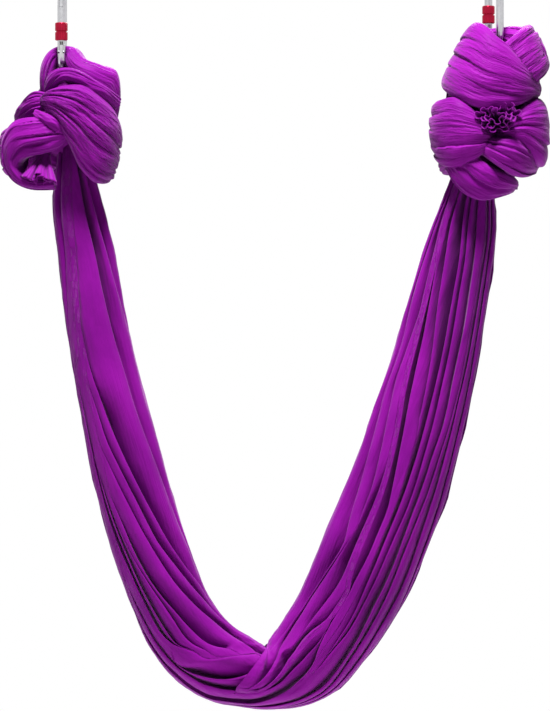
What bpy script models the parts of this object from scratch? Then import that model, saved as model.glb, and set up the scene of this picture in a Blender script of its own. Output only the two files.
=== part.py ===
"""Aerial sling: one wide cloth knotted onto two screw-lock carabiners and hanging between them.

Run it with: blender --background --python part.py
Metres, +Z up, -Y towards the viewer. The origin is the inside of the left carabiner's top bow,
where the rigging carries it.
"""

import math

import bmesh
import bpy
import numpy as np
from mathutils import Matrix, Vector

MM = 0.001
GAP = 0.0003  # running gap between neighbours
OVERRUN = 0.004  # how far a cut runs past the faces it opens

# Carabiner frame: a forged bar bent to a D
CARABINER_LENGTH = 0.112
BAR_WIDTH = 0.0092
BAR_DEPTH = 0.0104
GATE_TO_SPINE = 0.046
GATE_SIDE_BEND = 0.016
SPINE_SIDE_BEND = 0.019
BAR_SIDES = 12
BEND_STEPS = 7
BAR_SQUARENESS = 2.5  # power of the superellipse the bar is rolled to
NOSE_TAPER_share = 0.90
NOSE_RUN = 0.0028  # straight bar from the top bend down to the nose face
HINGE_RUN = 0.0004  # straight bar from the bottom bend up to the hinge shoulder

# Gate, its hinge and its latch
GATE_DIAMETER = 0.0100
GATE_SIDES = 20
TONGUE_THICKNESS = 0.0040
TONGUE_WIDTH = 0.0092
TONGUE_RISE = 0.0044  # hinge axis to the tongue's flat cam end
SLOT_CLEARANCE = 0.0003
HINGE_SLOT_RISE = 0.0086
HINGE_SHOULDER = 0.0061  # hinge axis down to where the full bar begins
HINGE_HEIGHT = BAR_DEPTH / 2 + GATE_SIDE_BEND + HINGE_RUN + HINGE_SHOULDER
NOSE_HEIGHT = CARABINER_LENGTH - BAR_DEPTH / 2 - GATE_SIDE_BEND - NOSE_RUN
RIVET_DIAMETER = 0.0030
LATCH_PIN_DIAMETER = 0.0024
LATCH_DROP = 0.0046  # nose face down to the latch pin
CLAW_LIP = 0.0017
CLAW_WIDTH = 0.0092
NOSE_SLOT_DROP = 0.0088
DIMPLE_DIAMETER = 0.0030
DIMPLE_DEPTH = 0.0010
DIMPLE_DROP = 0.0225  # nose face down to the dimple
PIN_SIDES = 12
GATE_TRAVEL_DEGREES = 28  # opens inward

# Plunger and its spring, inside the gate
BORE_DIAMETER = 0.0046
BORE_DEPTH = 0.0303  # hinge axis up to the bore's end
PLUNGER_DIAMETER = 0.0038
PLUNGER_LENGTH = 0.0086
SPRING_DIAMETER = 0.0034  # centre of the wire
SPRING_WIRE = 0.0007
SPRING_TURNS = 7
SPRING_STEPS = 8

# Locking sleeve
SLEEVE_DIAMETER = 0.0158
SLEEVE_LENGTH = 0.0224
SLEEVE_RISE = 0.0101  # hinge axis up to its lower edge, unlocked
SLEEVE_FLUTES = 12
FLUTE_DEPTH = 0.0006
SLEEVE_GROOVE = 0.0012
SLEEVE_GROOVE_WIDTH = 0.0022
SLEEVE_CHAMFER = 0.0010

# Where the two carabiners hang
EYE_SPACING = 0.544
RIGHT_RAISE = 0.025
RIGHT_TURN_DEGREES = 195  # the right one shows its spine to the front

# Cloth. The knots' wraps are laid out in hundredths of KNOT_SIZE.
KNOT_SIZE = 0.125
HUNDREDTH_share = 0.01
WRAP_RINGS = 24
WRAP_SIDES = 40
PLEATS = 5  # on each face of a wrap
PLEAT_DEPTH_share = 0.22  # of a wrap's half thickness
KNOT_GRAIN = 0.0022  # size of the cells that the wraps are merged on
LEFT_DETAIL_share = 0.028  # of the merged faces that are kept
RIGHT_DETAIL_share = 0.0175
SLING_DROP = 0.803  # bottom of the left bow to the lowest point
SLING_HEAD_share = 0.888  # of KNOT_SIZE, down to where the legs leave the knots
SLING_DEPTH = 0.090
SLING_RINGS = 50
TAIL_LENGTH = 0.030
TAIL_STEM = 0.016
TAIL_MOUTH = 0.044
TAIL_THICKNESS = 0.0025
TAIL_THROAT_share = 0.3  # of the tail's length
TAIL_STEPS = 5
TAIL_SIDES = 32
TAIL_FRILLS = 8
TAIL_FRILL_share = 0.14

SILK = (0.30, 0.018, 0.32)


def clear_scene():
    for old in list(bpy.data.objects):
        bpy.data.objects.remove(old)


def collection(name):
    made = bpy.data.collections.new(name)
    bpy.context.scene.collection.children.link(made)
    return made


def material(name, colour, roughness, metallic):
    made = bpy.data.materials.new(name)
    made.use_nodes = True
    shader = made.node_tree.nodes["Principled BSDF"]
    shader.inputs["Base Color"].default_value = (*colour, 1)
    shader.inputs["Roughness"].default_value = roughness
    shader.inputs["Metallic"].default_value = metallic
    return made


def link(name, data, where, finish=None, parent=None, place=(0, 0, 0)):
    made = bpy.data.objects.new(name, data)
    where.objects.link(made)
    made.location = place
    if finish:
        data.materials.append(finish)
    if parent:
        made.parent = parent
    if where is CUTTERS:
        made.hide_render = True
        made.display_type = "WIRE"
    return made


def boolean(target, cutter, operation):
    cut = target.modifiers.new(cutter.name, "BOOLEAN")
    cut.operation = operation
    cut.object = cutter
    return cut


def rounded_off(target, angle_degrees=35):
    """Shades a turned or drawn piece smooth, apart from its real edges."""
    target.data.shade_smooth()
    target.data.set_sharp_from_angle(angle=math.radians(angle_degrees))


def box(name, low, high):
    mesh = bpy.data.meshes.new(name)
    shape = bmesh.new()
    bmesh.ops.create_cube(shape, size=1)
    low, high = Vector(low), Vector(high)
    size = Matrix.Diagonal((*(high - low), 1))
    shape.transform(Matrix.Translation((low + high) / 2) @ size)
    shape.to_mesh(mesh)
    shape.free()
    return mesh


def rod(name, diameter, low, high, sides, across=False):
    """A cylinder along Z from low to high, or along X where across is set."""
    mesh = bpy.data.meshes.new(name)
    shape = bmesh.new()
    bmesh.ops.create_cone(
        shape,
        cap_ends=True,
        segments=sides,
        radius1=diameter / 2,
        radius2=diameter / 2,
        depth=high - low,
    )
    shape.transform(Matrix.Translation((0, 0, (low + high) / 2)))
    if across:
        shape.transform(Matrix.Rotation(math.pi / 2, 4, "Y"))
    shape.to_mesh(mesh)
    shape.free()
    return mesh


def plate(name, outline, thickness):
    """A flat outline in Y and Z with this thickness along X, as a mesh."""
    curve = bpy.data.curves.new(name, "CURVE")
    curve.dimensions = "2D"
    curve.fill_mode = "BOTH"
    curve.extrude = thickness / 2
    line = curve.splines.new("POLY")
    line.points.add(len(outline) - 1)
    for point, (y, z) in zip(line.points, outline):
        point.co = (y, z, 0, 1)
    line.use_cyclic_u = True
    mesh = as_mesh(name, curve)
    # the curve's X, Y and thickness become Y, Z and X
    mesh.transform(Matrix(((0, 0, 1, 0), (1, 0, 0, 0), (0, 1, 0, 0), (0, 0, 0, 1))))
    return mesh


def as_mesh(name, curve):
    """A curve's own solid as a welded mesh, which a Boolean can cut."""
    holder = bpy.data.objects.new(name, curve)
    bpy.context.scene.collection.objects.link(holder)
    seen = holder.evaluated_get(bpy.context.evaluated_depsgraph_get())
    mesh = bpy.data.meshes.new_from_object(seen)
    bpy.data.objects.remove(holder)
    shape = bmesh.new()
    shape.from_mesh(mesh)
    bmesh.ops.remove_doubles(shape, verts=shape.verts, dist=GAP * 0.1)
    bmesh.ops.recalc_face_normals(shape, faces=shape.faces)
    shape.to_mesh(mesh)
    shape.free()
    mesh.name = name
    return mesh


def arc(centre, radius, start_degrees, end_degrees, steps):
    turns = [
        math.radians(start_degrees + (end_degrees - start_degrees) * i / steps)
        for i in range(steps + 1)
    ]
    return [(centre[0] + radius * math.cos(a), centre[1] + radius * math.sin(a)) for a in turns]


# Carabiner. Local X is across its plane, Y runs from gate to spine and Z is up.
GATE_Y = -GATE_TO_SPINE / 2
SPINE_Y = GATE_TO_SPINE / 2


def frame_line(start, end):
    """The bar's centreline in Y and Z, from above the hinge shoulder round to the nose."""
    low = BAR_DEPTH / 2
    high = CARABINER_LENGTH - low
    near, far = GATE_SIDE_BEND, SPINE_SIDE_BEND
    line = [(GATE_Y, start)]
    line += arc((GATE_Y + near, low + near), near, 180, 270, BEND_STEPS)
    line += arc((SPINE_Y - far, low + far), far, 270, 360, BEND_STEPS)
    line += arc((SPINE_Y - far, high - far), far, 0, 90, BEND_STEPS)
    line += arc((GATE_Y + near, high - near), near, 90, 180, BEND_STEPS)
    line.append((GATE_Y, end))
    return line


def bar(name, line, grow=0.0, end_share=1.0):
    """The bar's rolled section swept along its centreline."""
    section = bpy.data.curves.new(name + "_section", "CURVE")
    section.dimensions = "2D"
    rim = section.splines.new("POLY")
    rim.points.add(BAR_SIDES - 1)
    across_flats = math.cos(math.pi / BAR_SIDES) ** (2 / BAR_SQUARENESS)
    deep = BAR_DEPTH / 2 / across_flats + grow
    wide = BAR_WIDTH / 2 / across_flats + grow
    for i, point in enumerate(rim.points):
        turn = math.tau * (i + 0.5) / BAR_SIDES
        c, s = math.cos(turn), math.sin(turn)
        x = math.copysign(abs(c) ** (2 / BAR_SQUARENESS), c) * deep
        y = math.copysign(abs(s) ** (2 / BAR_SQUARENESS), s) * wide
        point.co = (x, y, 0, 1)
    rim.use_cyclic_u = True
    shape = bpy.data.objects.new(name + "_section", section)
    bpy.context.scene.collection.objects.link(shape)
    sweep = bpy.data.curves.new(name, "CURVE")
    sweep.dimensions = "2D"
    sweep.bevel_mode = "OBJECT"
    sweep.bevel_object = shape
    sweep.use_fill_caps = True
    path = sweep.splines.new("POLY")
    path.points.add(len(line) - 1)
    for point, (y, z) in zip(path.points, line):
        point.co = (y, z, 0, 1)
    path.points[-1].radius = end_share
    mesh = as_mesh(name, sweep)
    bpy.data.objects.remove(shape)
    mesh.transform(Matrix(((0, 0, 1, 0), (1, 0, 0, 0), (0, 1, 0, 0), (0, 0, 0, 1))))
    return mesh


def make_frame(side, parent):
    """The forged frame, with the hinge tongue at one end and the latch claw at the other."""
    nose_face = NOSE_HEIGHT + GAP
    line = frame_line(HINGE_HEIGHT - HINGE_SHOULDER, nose_face)
    frame = link(side + "_frame", bar("bar", line, 0.0, NOSE_TAPER_share), PARTS, ALLOY, parent)

    half = TONGUE_WIDTH / 2
    foot = HINGE_HEIGHT - HINGE_SHOULDER - OVERRUN
    top = HINGE_HEIGHT + TONGUE_RISE
    outline = [
        (GATE_Y - half, foot),
        (GATE_Y + half, foot),
        (GATE_Y + half, top),
        (GATE_Y - half, top),
    ]
    tongue = link(side + "_tongue", plate("tongue", outline, TONGUE_THICKNESS), CUTTERS, None, parent)
    boolean(frame, tongue, "UNION")

    pin_z = NOSE_HEIGHT - LATCH_DROP
    room = LATCH_PIN_DIAMETER / 2 + GAP
    out, into = GATE_Y - CLAW_WIDTH / 2, GATE_Y + CLAW_WIDTH / 2
    hook = [
        (out, nose_face + OVERRUN),
        (out, pin_z - room - CLAW_LIP),
        (into - room, pin_z - room - CLAW_LIP),
        (into, pin_z - room - CLAW_LIP / 2),
        (into, pin_z - room),
    ]
    hook += arc((GATE_Y, pin_z), room, 270, 90, BEND_STEPS)
    hook += [(into, pin_z + room), (into, nose_face + OVERRUN)]
    claw = link(side + "_claw", plate("claw", hook, TONGUE_THICKNESS), CUTTERS, None, parent)
    boolean(frame, claw, "UNION")

    hole = rod("hinge_hole", RIVET_DIAMETER + 2 * GAP, -BAR_WIDTH, BAR_WIDTH, PIN_SIDES, True)
    drill = link(side + "_hinge_hole", hole, CUTTERS, None, parent, (0, GATE_Y, HINGE_HEIGHT))
    boolean(frame, drill, "DIFFERENCE")
    rounded_off(frame)
    return frame


def make_gate(side, parent):
    """The round gate, forked over the tongue and the claw and bored for the spring."""
    radius = GATE_DIAMETER / 2
    reach = NOSE_HEIGHT - HINGE_HEIGHT
    gate = link(
        side + "_gate",
        rod("gate", GATE_DIAMETER, -radius - OVERRUN, reach, GATE_SIDES),
        PARTS,
        ALLOY,
        parent,
        (0, GATE_Y, HINGE_HEIGHT),
    )
    # rounds the hinge end about the rivet
    tip = arc((0, 0), radius, 180, 360, 2 * BEND_STEPS)
    tip += [(radius + OVERRUN, 0), (radius + OVERRUN, reach + OVERRUN)]
    tip += [(-radius - OVERRUN, reach + OVERRUN), (-radius - OVERRUN, 0)]
    rounding = link(side + "_gate_end", plate("gate_end", tip, GATE_DIAMETER * 2), CUTTERS, None, gate)
    boolean(gate, rounding, "INTERSECT")

    half_slot = TONGUE_THICKNESS / 2 + SLOT_CLEARANCE
    cuts = (
        box(
            "hinge_slot",
            (-half_slot, -GATE_DIAMETER, -GATE_DIAMETER),
            (half_slot, GATE_DIAMETER, HINGE_SLOT_RISE),
        ),
        box(
            "nose_slot",
            (-half_slot, -GATE_DIAMETER, reach - NOSE_SLOT_DROP),
            (half_slot, GATE_DIAMETER, reach + OVERRUN),
        ),
        rod("spring_bore", BORE_DIAMETER, 0, BORE_DEPTH, PIN_SIDES),
        rod("rivet_hole", RIVET_DIAMETER + 2 * GAP, -GATE_DIAMETER, GATE_DIAMETER, PIN_SIDES, True),
    )
    for cut in cuts:
        boolean(gate, link(side + "_" + cut.name, cut, CUTTERS, None, gate), "DIFFERENCE")
    hole = rod("latch_hole", LATCH_PIN_DIAMETER + 2 * GAP, -GATE_DIAMETER, GATE_DIAMETER, PIN_SIDES, True)
    latch = link(side + "_latch_hole", hole, CUTTERS, None, gate, (0, 0, reach - LATCH_DROP))
    boolean(gate, latch, "DIFFERENCE")
    pit = rod("dimple", DIMPLE_DIAMETER, 0, OVERRUN, PIN_SIDES)
    pit.transform(Matrix.Rotation(math.pi / 2, 4, "X"))
    dimple_place = (0, -radius + DIMPLE_DEPTH, reach - DIMPLE_DROP)
    dimple = link(side + "_dimple", pit, CUTTERS, None, gate, dimple_place)
    boolean(gate, dimple, "DIFFERENCE")
    rounded_off(gate)
    return gate


def make_pins(side, gate):
    """The hinge rivet and the latch pin, both held in the gate's forks."""
    reach = NOSE_HEIGHT - HINGE_HEIGHT
    half = GATE_DIAMETER / 2
    rivet = rod("rivet", RIVET_DIAMETER, -half, half, PIN_SIDES, True)
    rounded_off(link(side + "_hinge_rivet", rivet, PARTS, STEEL, gate))
    pin = rod("latch_pin", LATCH_PIN_DIAMETER, -half + GAP, half - GAP, PIN_SIDES, True)
    rounded_off(link(side + "_latch_pin", pin, PARTS, STEEL, gate, (0, 0, reach - LATCH_DROP)))


def make_plunger(side, gate):
    """The push rod that rides on the tongue's end, and the spring above it."""
    foot = TONGUE_RISE + GAP
    head = foot + PLUNGER_LENGTH
    mesh = rod("plunger", PLUNGER_DIAMETER, 0, PLUNGER_LENGTH, PIN_SIDES)
    rounded_off(link(side + "_plunger", mesh, PARTS, STEEL, gate, (0, 0, foot)))

    wire = bpy.data.curves.new("spring", "CURVE")
    wire.dimensions = "3D"
    wire.bevel_depth = SPRING_WIRE / 2
    wire.bevel_resolution = 1
    wire.use_fill_caps = True
    coil = wire.splines.new("POLY")
    steps = SPRING_TURNS * SPRING_STEPS
    coil.points.add(steps)
    low = head + SPRING_WIRE / 2 + GAP
    high = BORE_DEPTH - SPRING_WIRE / 2 - GAP
    for i, point in enumerate(coil.points):
        turn = math.tau * i / SPRING_STEPS
        across = SPRING_DIAMETER / 2
        point.co = (across * math.cos(turn), across * math.sin(turn), low + (high - low) * i / steps, 1)
    pitch = (high - low) / SPRING_TURNS
    print(side, "spring's least gap to itself, mm:", round((pitch - SPRING_WIRE) / MM, 2))
    link(side + "_gate_spring", wire, PARTS, STEEL, gate)


def make_sleeve(side, gate):
    """The red locking sleeve: fluted, waisted at mid length and bored to run on the gate."""
    outer = SLEEVE_DIAMETER / 2
    groove = SLEEVE_GROOVE_WIDTH / 2
    middle = SLEEVE_LENGTH / 2
    profile = [
        (GATE_DIAMETER / 2 + GAP, SLEEVE_LENGTH),
        (outer - SLEEVE_CHAMFER, SLEEVE_LENGTH),
        (outer, SLEEVE_LENGTH - SLEEVE_CHAMFER),
        (outer, middle + groove),
        (outer - SLEEVE_GROOVE, middle + groove / 2),
        (outer - SLEEVE_GROOVE, middle - groove / 2),
        (outer, middle - groove),
        (outer, SLEEVE_CHAMFER),
        (outer - SLEEVE_CHAMFER, 0),
        (GATE_DIAMETER / 2 + GAP, 0),
    ]
    mesh = bpy.data.meshes.new("sleeve")
    points = [(r, 0, z) for r, z in profile]
    edges = [(i, (i + 1) % len(profile)) for i in range(len(profile))]
    mesh.from_pydata(points, edges, [])
    sleeve = link(side + "_lock_sleeve", mesh, PARTS, RED, gate, (0, 0, SLEEVE_RISE))
    turned = sleeve.modifiers.new("turned", "SCREW")
    turned.steps = turned.render_steps = 3 * SLEEVE_FLUTES
    turned.use_merge_vertices = True
    turned.merge_threshold = GAP * 0.1
    turned.use_smooth_shade = False

    # a ring of round-bottomed flutes, cut as one star-shaped prism
    star = []
    for i in range(2 * SLEEVE_FLUTES):
        turn = math.tau * (i + 0.5) / (2 * SLEEVE_FLUTES)
        reach = outer + FLUTE_DEPTH if i % 2 else outer - FLUTE_DEPTH
        star.append((reach * math.cos(turn), reach * math.sin(turn)))
    prism = plate("flutes", star, SLEEVE_LENGTH + 2 * OVERRUN)
    prism.transform(Matrix.Rotation(math.pi / 2, 4, "Y"))
    flutes = link(side + "_flutes", prism, CUTTERS, None, sleeve, (0, 0, middle))
    boolean(sleeve, flutes, "INTERSECT")
    return sleeve


def make_carabiner(side, place, turn_degrees):
    base = bpy.data.objects.new(side + "_carabiner", None)
    PARTS.objects.link(base)
    base.location = place
    base.rotation_euler = (0, 0, math.radians(turn_degrees))
    make_frame(side, base)
    gate = make_gate(side, base)
    make_pins(side, gate)
    make_plunger(side, gate)
    make_sleeve(side, gate)
    return base


def clearances(side, base):
    """What the cloth must leave free: the bar, and all that the gate and its sleeve sweep."""
    line = frame_line(HINGE_HEIGHT - HINGE_SHOULDER, NOSE_HEIGHT + GAP)
    room = link(side + "_bar_room", bar("bar_room", line, GAP), CUTTERS, None, base)
    reach = CARABINER_LENGTH - HINGE_HEIGHT
    wide = SLEEVE_DIAMETER / 2 + 4 * GAP
    low = HINGE_HEIGHT - GATE_DIAMETER / 2 - 2 * GAP
    lean = math.radians(GATE_TRAVEL_DEGREES)
    inside = GATE_Y + wide * math.cos(lean)
    dip = wide * math.sin(lean) / 2
    sweep = [
        (GATE_Y - wide, low),
        (GATE_Y + GATE_DIAMETER / 2 + 2 * GAP, low),
        (inside + dip, HINGE_HEIGHT - dip),
        (inside + reach * math.sin(lean), HINGE_HEIGHT + reach * math.cos(lean)),
        (GATE_Y - wide, CARABINER_LENGTH),
    ]
    swept = link(side + "_gate_room", plate("gate_room", sweep, 2 * wide), CUTTERS, None, base)
    return room, swept


# Cloth. Each wrap is a flattened tube between two edge lines, pleated along its run.
def spline(points, count):
    """Rows read evenly from one smooth curve through the given ones, paced by their first point."""
    points = np.array(points, float)
    steps = np.sqrt(np.linalg.norm(np.diff(points[:, 0:3] + points[:, 3:6], axis=0), axis=1))
    knots = np.concatenate([[0], np.cumsum(steps)])
    slopes = np.gradient(points, knots, axis=0)
    at = np.linspace(0, knots[-1], count)
    piece = np.clip(np.searchsorted(knots, at, "right") - 1, 0, len(knots) - 2)
    span = (knots[piece + 1] - knots[piece])[:, None]
    t = (at - knots[piece])[:, None] / span
    return (
        points[piece] * (1 + 2 * t) * (1 - t) ** 2
        + slopes[piece] * span * t * (1 - t) ** 2
        + points[piece + 1] * t * t * (3 - 2 * t)
        + slopes[piece + 1] * span * t * t * (t - 1)
    )


def add_loft(shape, rings):
    """Adds the closed skin over rings of equal count, with flat ends."""
    rows = [[shape.verts.new(p) for p in ring] for ring in rings]
    for one, two in zip(rows, rows[1:]):
        for i, a in enumerate(one):
            after = (i + 1) % len(one)
            shape.faces.new((a, one[after], two[after], two[i]))
    shape.faces.new(rows[0])
    shape.faces.new(rows[-1])


def loft(name, *skins):
    shape = bmesh.new()
    for rings in skins:
        add_loft(shape, rings)
    bmesh.ops.recalc_face_normals(shape, faces=shape.faces)
    mesh = bpy.data.meshes.new(name)
    shape.to_mesh(mesh)
    shape.free()
    return mesh


def wrap_rings(stations):
    """Rings of one wrap. A station is edge A, edge B and half thickness, in hundredths."""
    line = spline(stations, WRAP_RINGS) * HUNDREDTH_share * KNOT_SIZE
    a, b, thick = line[:, 0:3], line[:, 3:6], line[:, 6]
    centre, across = (a + b) / 2, (a - b) / 2
    normal = np.cross(np.gradient(centre, axis=0), across)
    normal /= np.linalg.norm(normal, axis=1)[:, None]
    made = []
    for i in range(WRAP_SIDES):
        turn = math.tau * i / WRAP_SIDES
        wide = math.cos(turn)
        pleat = 0.5 + 0.5 * math.cos(math.pi * PLEATS * (1 + wide))
        deep = math.sin(turn) * (1 - PLEAT_DEPTH_share * (1 - pleat))
        made.append(centre + across * wide + normal * (thick * deep)[:, None])
    return np.stack(made, axis=1)


# Stations of the wraps, in hundredths of KNOT_SIZE from the bottom of the carabiner's bow:
# edge A (x, y, z), edge B (x, y, z), half thickness.
LEFT_LOOP_shares = (
    (-16, 8, -36, -4, 4, -36, 14),
    (-22, 2, -14, -6, 0, -14, 15),
    (-21, 0, 8, -5, 0, 2, 15),
    (-14, 0, 20, -3, 0, 8, 14),
    (-6, 0, 25, -1.5, 0, 9.2, 12.6),
    (0, 0, 26, 0, 0, 9.2, 12.4),
    (6, 0, 26, 2, 0, 9, 12.6),
    (14, -2, 24, 5, 0, 6, 16),
    (24, -5, 13, 9, -3, -8, 19),
    (39, -4, 7, 22, -5, -20, 21),
    (52, 3, 2, 32, 0, -32, 21),
    (57, 8, -24, 36, 6, -44, 19),
    (54, 12, -50, 32, 8, -56, 15),
)
LEFT_ARCH_shares = (
    (-14, -24, -16, -10, -27, -26, 6),
    (-11, -30, -5, -4, -33, -17, 7),
    (-4, -33, 0, 2, -36, -12, 8),
    (6, -34, 1, 9, -38, -12, 8),
    (18, -33, -2, 18, -38, -16, 8),
    (28, -31, -8, 27, -37, -22, 8),
    (40, -26, -16, 40, -32, -28, 8),
    (54, -10, -26, 54, -14, -38, 8),
)
LEFT_FAN_shares = (
    (-17, -29, -27, -15, -29, -37, 6),
    (-10, -37, -21, -10, -37, -44, 9),
    (2, -41, -17, -1, -40, -56, 11),
    (20, -42, -16, 9, -40, -76, 12),
    (38, -35, -26, 20, -36, -98, 12),
    (50, -20, -38, 34, -25, -112, 12),
    (52, 2, -54, 42, -4, -112, 12),
    (44, 24, -58, 40, 16, -106, 10),
)
LEFT_GATHER_shares = (
    (-14, -27, -23, -14, -29, -40, 6),
    (-25, -25, -21, -24, -28, -44, 8),
    (-35, -15, -30, -33, -18, -50, 9),
    (-42, 2, -38, -38, 2, -56, 9),
    (-34, 22, -42, -34, 20, -62, 8),
)
LEFT_LOBE_shares = (
    (4, -34, -53, 6, -34, -71, 8),
    (-12, -38, -49, -2, -36, -79, 10),
    (-32, -38, -48, -16, -36, -84, 12),
    (-48, -32, -53, -30, -34, -87, 13),
    (-57, -26, -69, -37, -32, -91, 13),
    (-57, -24, -89, -40, -30, -97, 12),
    (-48, -24, -108, -36, -30, -103, 11),
    (-32, -24, -117, -28, -30, -107, 10),
    (-12, -24, -118, -14, -30, -109, 10),
)
LEFT_SIDE_shares = (
    (-44, -20, -52, -40, -24, -100, 12),
    (-54, -4, -58, -50, -4, -104, 12),
    (-48, 14, -52, -46, 12, -106, 12),
    (-30, 28, -46, -30, 28, -106, 12),
)
LEFT_BACK_shares = (
    (-40, 14, -40, -46, 10, -100, 11),
    (-24, 34, -16, -28, 32, -104, 13),
    (4, 44, 2, -2, 44, -106, 14),
    (30, 40, -2, 22, 42, -108, 14),
    (48, 22, -26, 40, 24, -104, 12),
)
LEFT_TWIST_shares = (
    (-24, -40, -40, -26, -42, -47, 5),
    (-14, -46, -44, -18, -47, -54, 6),
    (-4, -47, -50, -8, -47, -61, 6),
    (6, -40, -58, 2, -40, -68, 6),
)
LEFT_CORES_shares = (
    (2, 0, -50, 40, 32, 46),
    (-24, 2, -76, 26, 26, 30),
)

RIGHT_LOOP_shares = (
    (-34, 6, 4, -26, 2, -20, 18),
    (-24, 4, 16, -18, 0, -4, 16),
    (-10, 0, 22, -6, 0, 6, 13),
    (0, 0, 24, 0, 0, 9.2, 12.4),
    (8, 0, 25, 5, 0, 8, 13),
    (20, 0, 26, 14, 0, 0, 19),
    (36, 0, 22, 24, 0, -12, 23),
    (50, 0, 6, 30, 0, -26, 23),
    (52, 2, -14, 30, 2, -40, 21),
)
RIGHT_SHOULDER_shares = (
    (16, 30, 18, 34, 32, -36, 10),
    (28, 18, 26, 46, 20, -26, 10),
    (32, 0, 27, 52, 0, -20, 9),
    (24, -24, 20, 46, -24, -28, 10),
    (10, -33, 8, 36, -33, -36, 10),
    (-4, -34, -4, 18, -34, -46, 8),
)
RIGHT_UPPER_shares = (
    (-22, 28, 22, -46, 28, -36, 10),
    (-27, 6, 27, -50, 4, -36, 10),
    (-22, -16, 28, -46, -20, -43, 11),
    (-12, -30, 22, -34, -37, -51, 12),
    (0, -38, 12, -18, -44, -58, 13),
    (12, -38, 3, 2, -45, -60, 13),
    (26, -34, -12, 18, -40, -56, 12),
    (37, -18, -27, 31, -24, -49, 11),
    (39, 4, -36, 36, 2, -46, 9),
    (32, 20, -34, 30, 20, -46, 8),
)
RIGHT_LEFT_LOBE_shares = (
    (-40, 26, -42, -42, 24, -106, 10),
    (-54, 6, -50, -52, 6, -108, 12),
    (-52, -20, -49, -48, -20, -116, 13),
    (-40, -34, -48, -36, -34, -118, 13),
    (-25, -40, -58, -22, -40, -111, 12),
    (-14, -36, -74, -10, -37, -101, 9),
    (-2, -26, -84, 0, -28, -94, 6),
)
RIGHT_RIGHT_LOBE_shares = (
    (2, -28, -82, 4, -28, -92, 5),
    (12, -36, -72, 14, -37, -94, 8),
    (24, -35, -58, 26, -35, -100, 11),
    (37, -20, -48, 38, -22, -110, 12),
    (42, 4, -50, 41, 4, -110, 11),
    (32, 26, -52, 32, 26, -104, 9),
)
RIGHT_LOWER_shares = (
    (-12, -30, -92, -22, -30, -106, 7),
    (3, -37, -88, -8, -37, -112, 9),
    (18, -37, -90, 10, -37, -122, 10),
    (31, -26, -98, 26, -26, -126, 10),
    (38, -6, -104, 34, -4, -122, 9),
    (34, 16, -104, 32, 18, -118, 8),
)
RIGHT_BOTTOM_shares = (
    (-42, 22, -108, -38, 20, -132, 9),
    (-44, 2, -108, -40, 0, -137, 10),
    (-42, -20, -111, -38, -18, -140, 12),
    (-30, -34, -114, -32, -28, -147, 10),
    (-14, -40, -110, -18, -33, -150, 10),
    (0, -38, -116, -4, -30, -146, 10),
    (14, -24, -128, 10, -20, -138, 9),
    (16, 0, -126, 12, 0, -138, 9),
    (8, 18, -120, 6, 18, -134, 8),
)
RIGHT_BACK_shares = (
    (-42, 14, 6, -46, 14, -88, 11),
    (-30, 32, 22, -36, 32, -100, 13),
    (-6, 42, 27, -10, 42, -106, 14),
    (22, 38, 20, 20, 38, -104, 13),
    (42, 18, -10, 38, 20, -94, 11),
)
RIGHT_CORES_shares = (
    (-4, 0, -46, 42, 32, 60),
    (-8, 0, -96, 38, 28, 42),
)

# Tail of the cloth that comes out of each knot: foot (x, y, z) and the way it points, in the
# same hundredths
LEFT_TAIL_shares = ((-17, -16, -88), (-3, -16, -22))
RIGHT_TAIL_shares = ((4, -22, -72), (0, -26, 2))


def lump_rings(shares):
    """Rings of the rounded heart of a knot: centre and half size on each axis, in hundredths."""
    centre = np.array(shares[0:3]) * HUNDREDTH_share * KNOT_SIZE
    half = np.array(shares[3:6]) * HUNDREDTH_share * KNOT_SIZE
    rings = []
    for i in range(1, WRAP_RINGS):
        tilt = math.pi * i / WRAP_RINGS
        around = np.linspace(0, math.tau, WRAP_SIDES, endpoint=False)
        rim = np.stack([np.cos(around), np.sin(around), 0 * around], axis=1) * math.sin(tilt)
        rim[:, 2] = -math.cos(tilt)
        rings.append(centre + rim * half)
    return rings


def make_knot(side, base, wraps, cores, detail, cutters):
    """The wraps merged into one lump of cloth, cut clear of the carabiner and of what enters it."""
    skins = [wrap_rings(stations) for stations in wraps]
    skins += [lump_rings(shares) for shares in cores]
    mesh = loft(side + "_knot", *skins)
    knot = link(side + "_knot", mesh, PARTS, CLOTH, None, base.location)
    merge = knot.modifiers.new("merge", "REMESH")
    merge.mode = "VOXEL"
    merge.voxel_size = KNOT_GRAIN
    coarse = knot.modifiers.new("coarse", "DECIMATE")
    coarse.ratio = detail
    coarse.use_collapse_triangulate = True
    for cutter in cutters:
        boolean(knot, cutter, "DIFFERENCE")
    return knot


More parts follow.
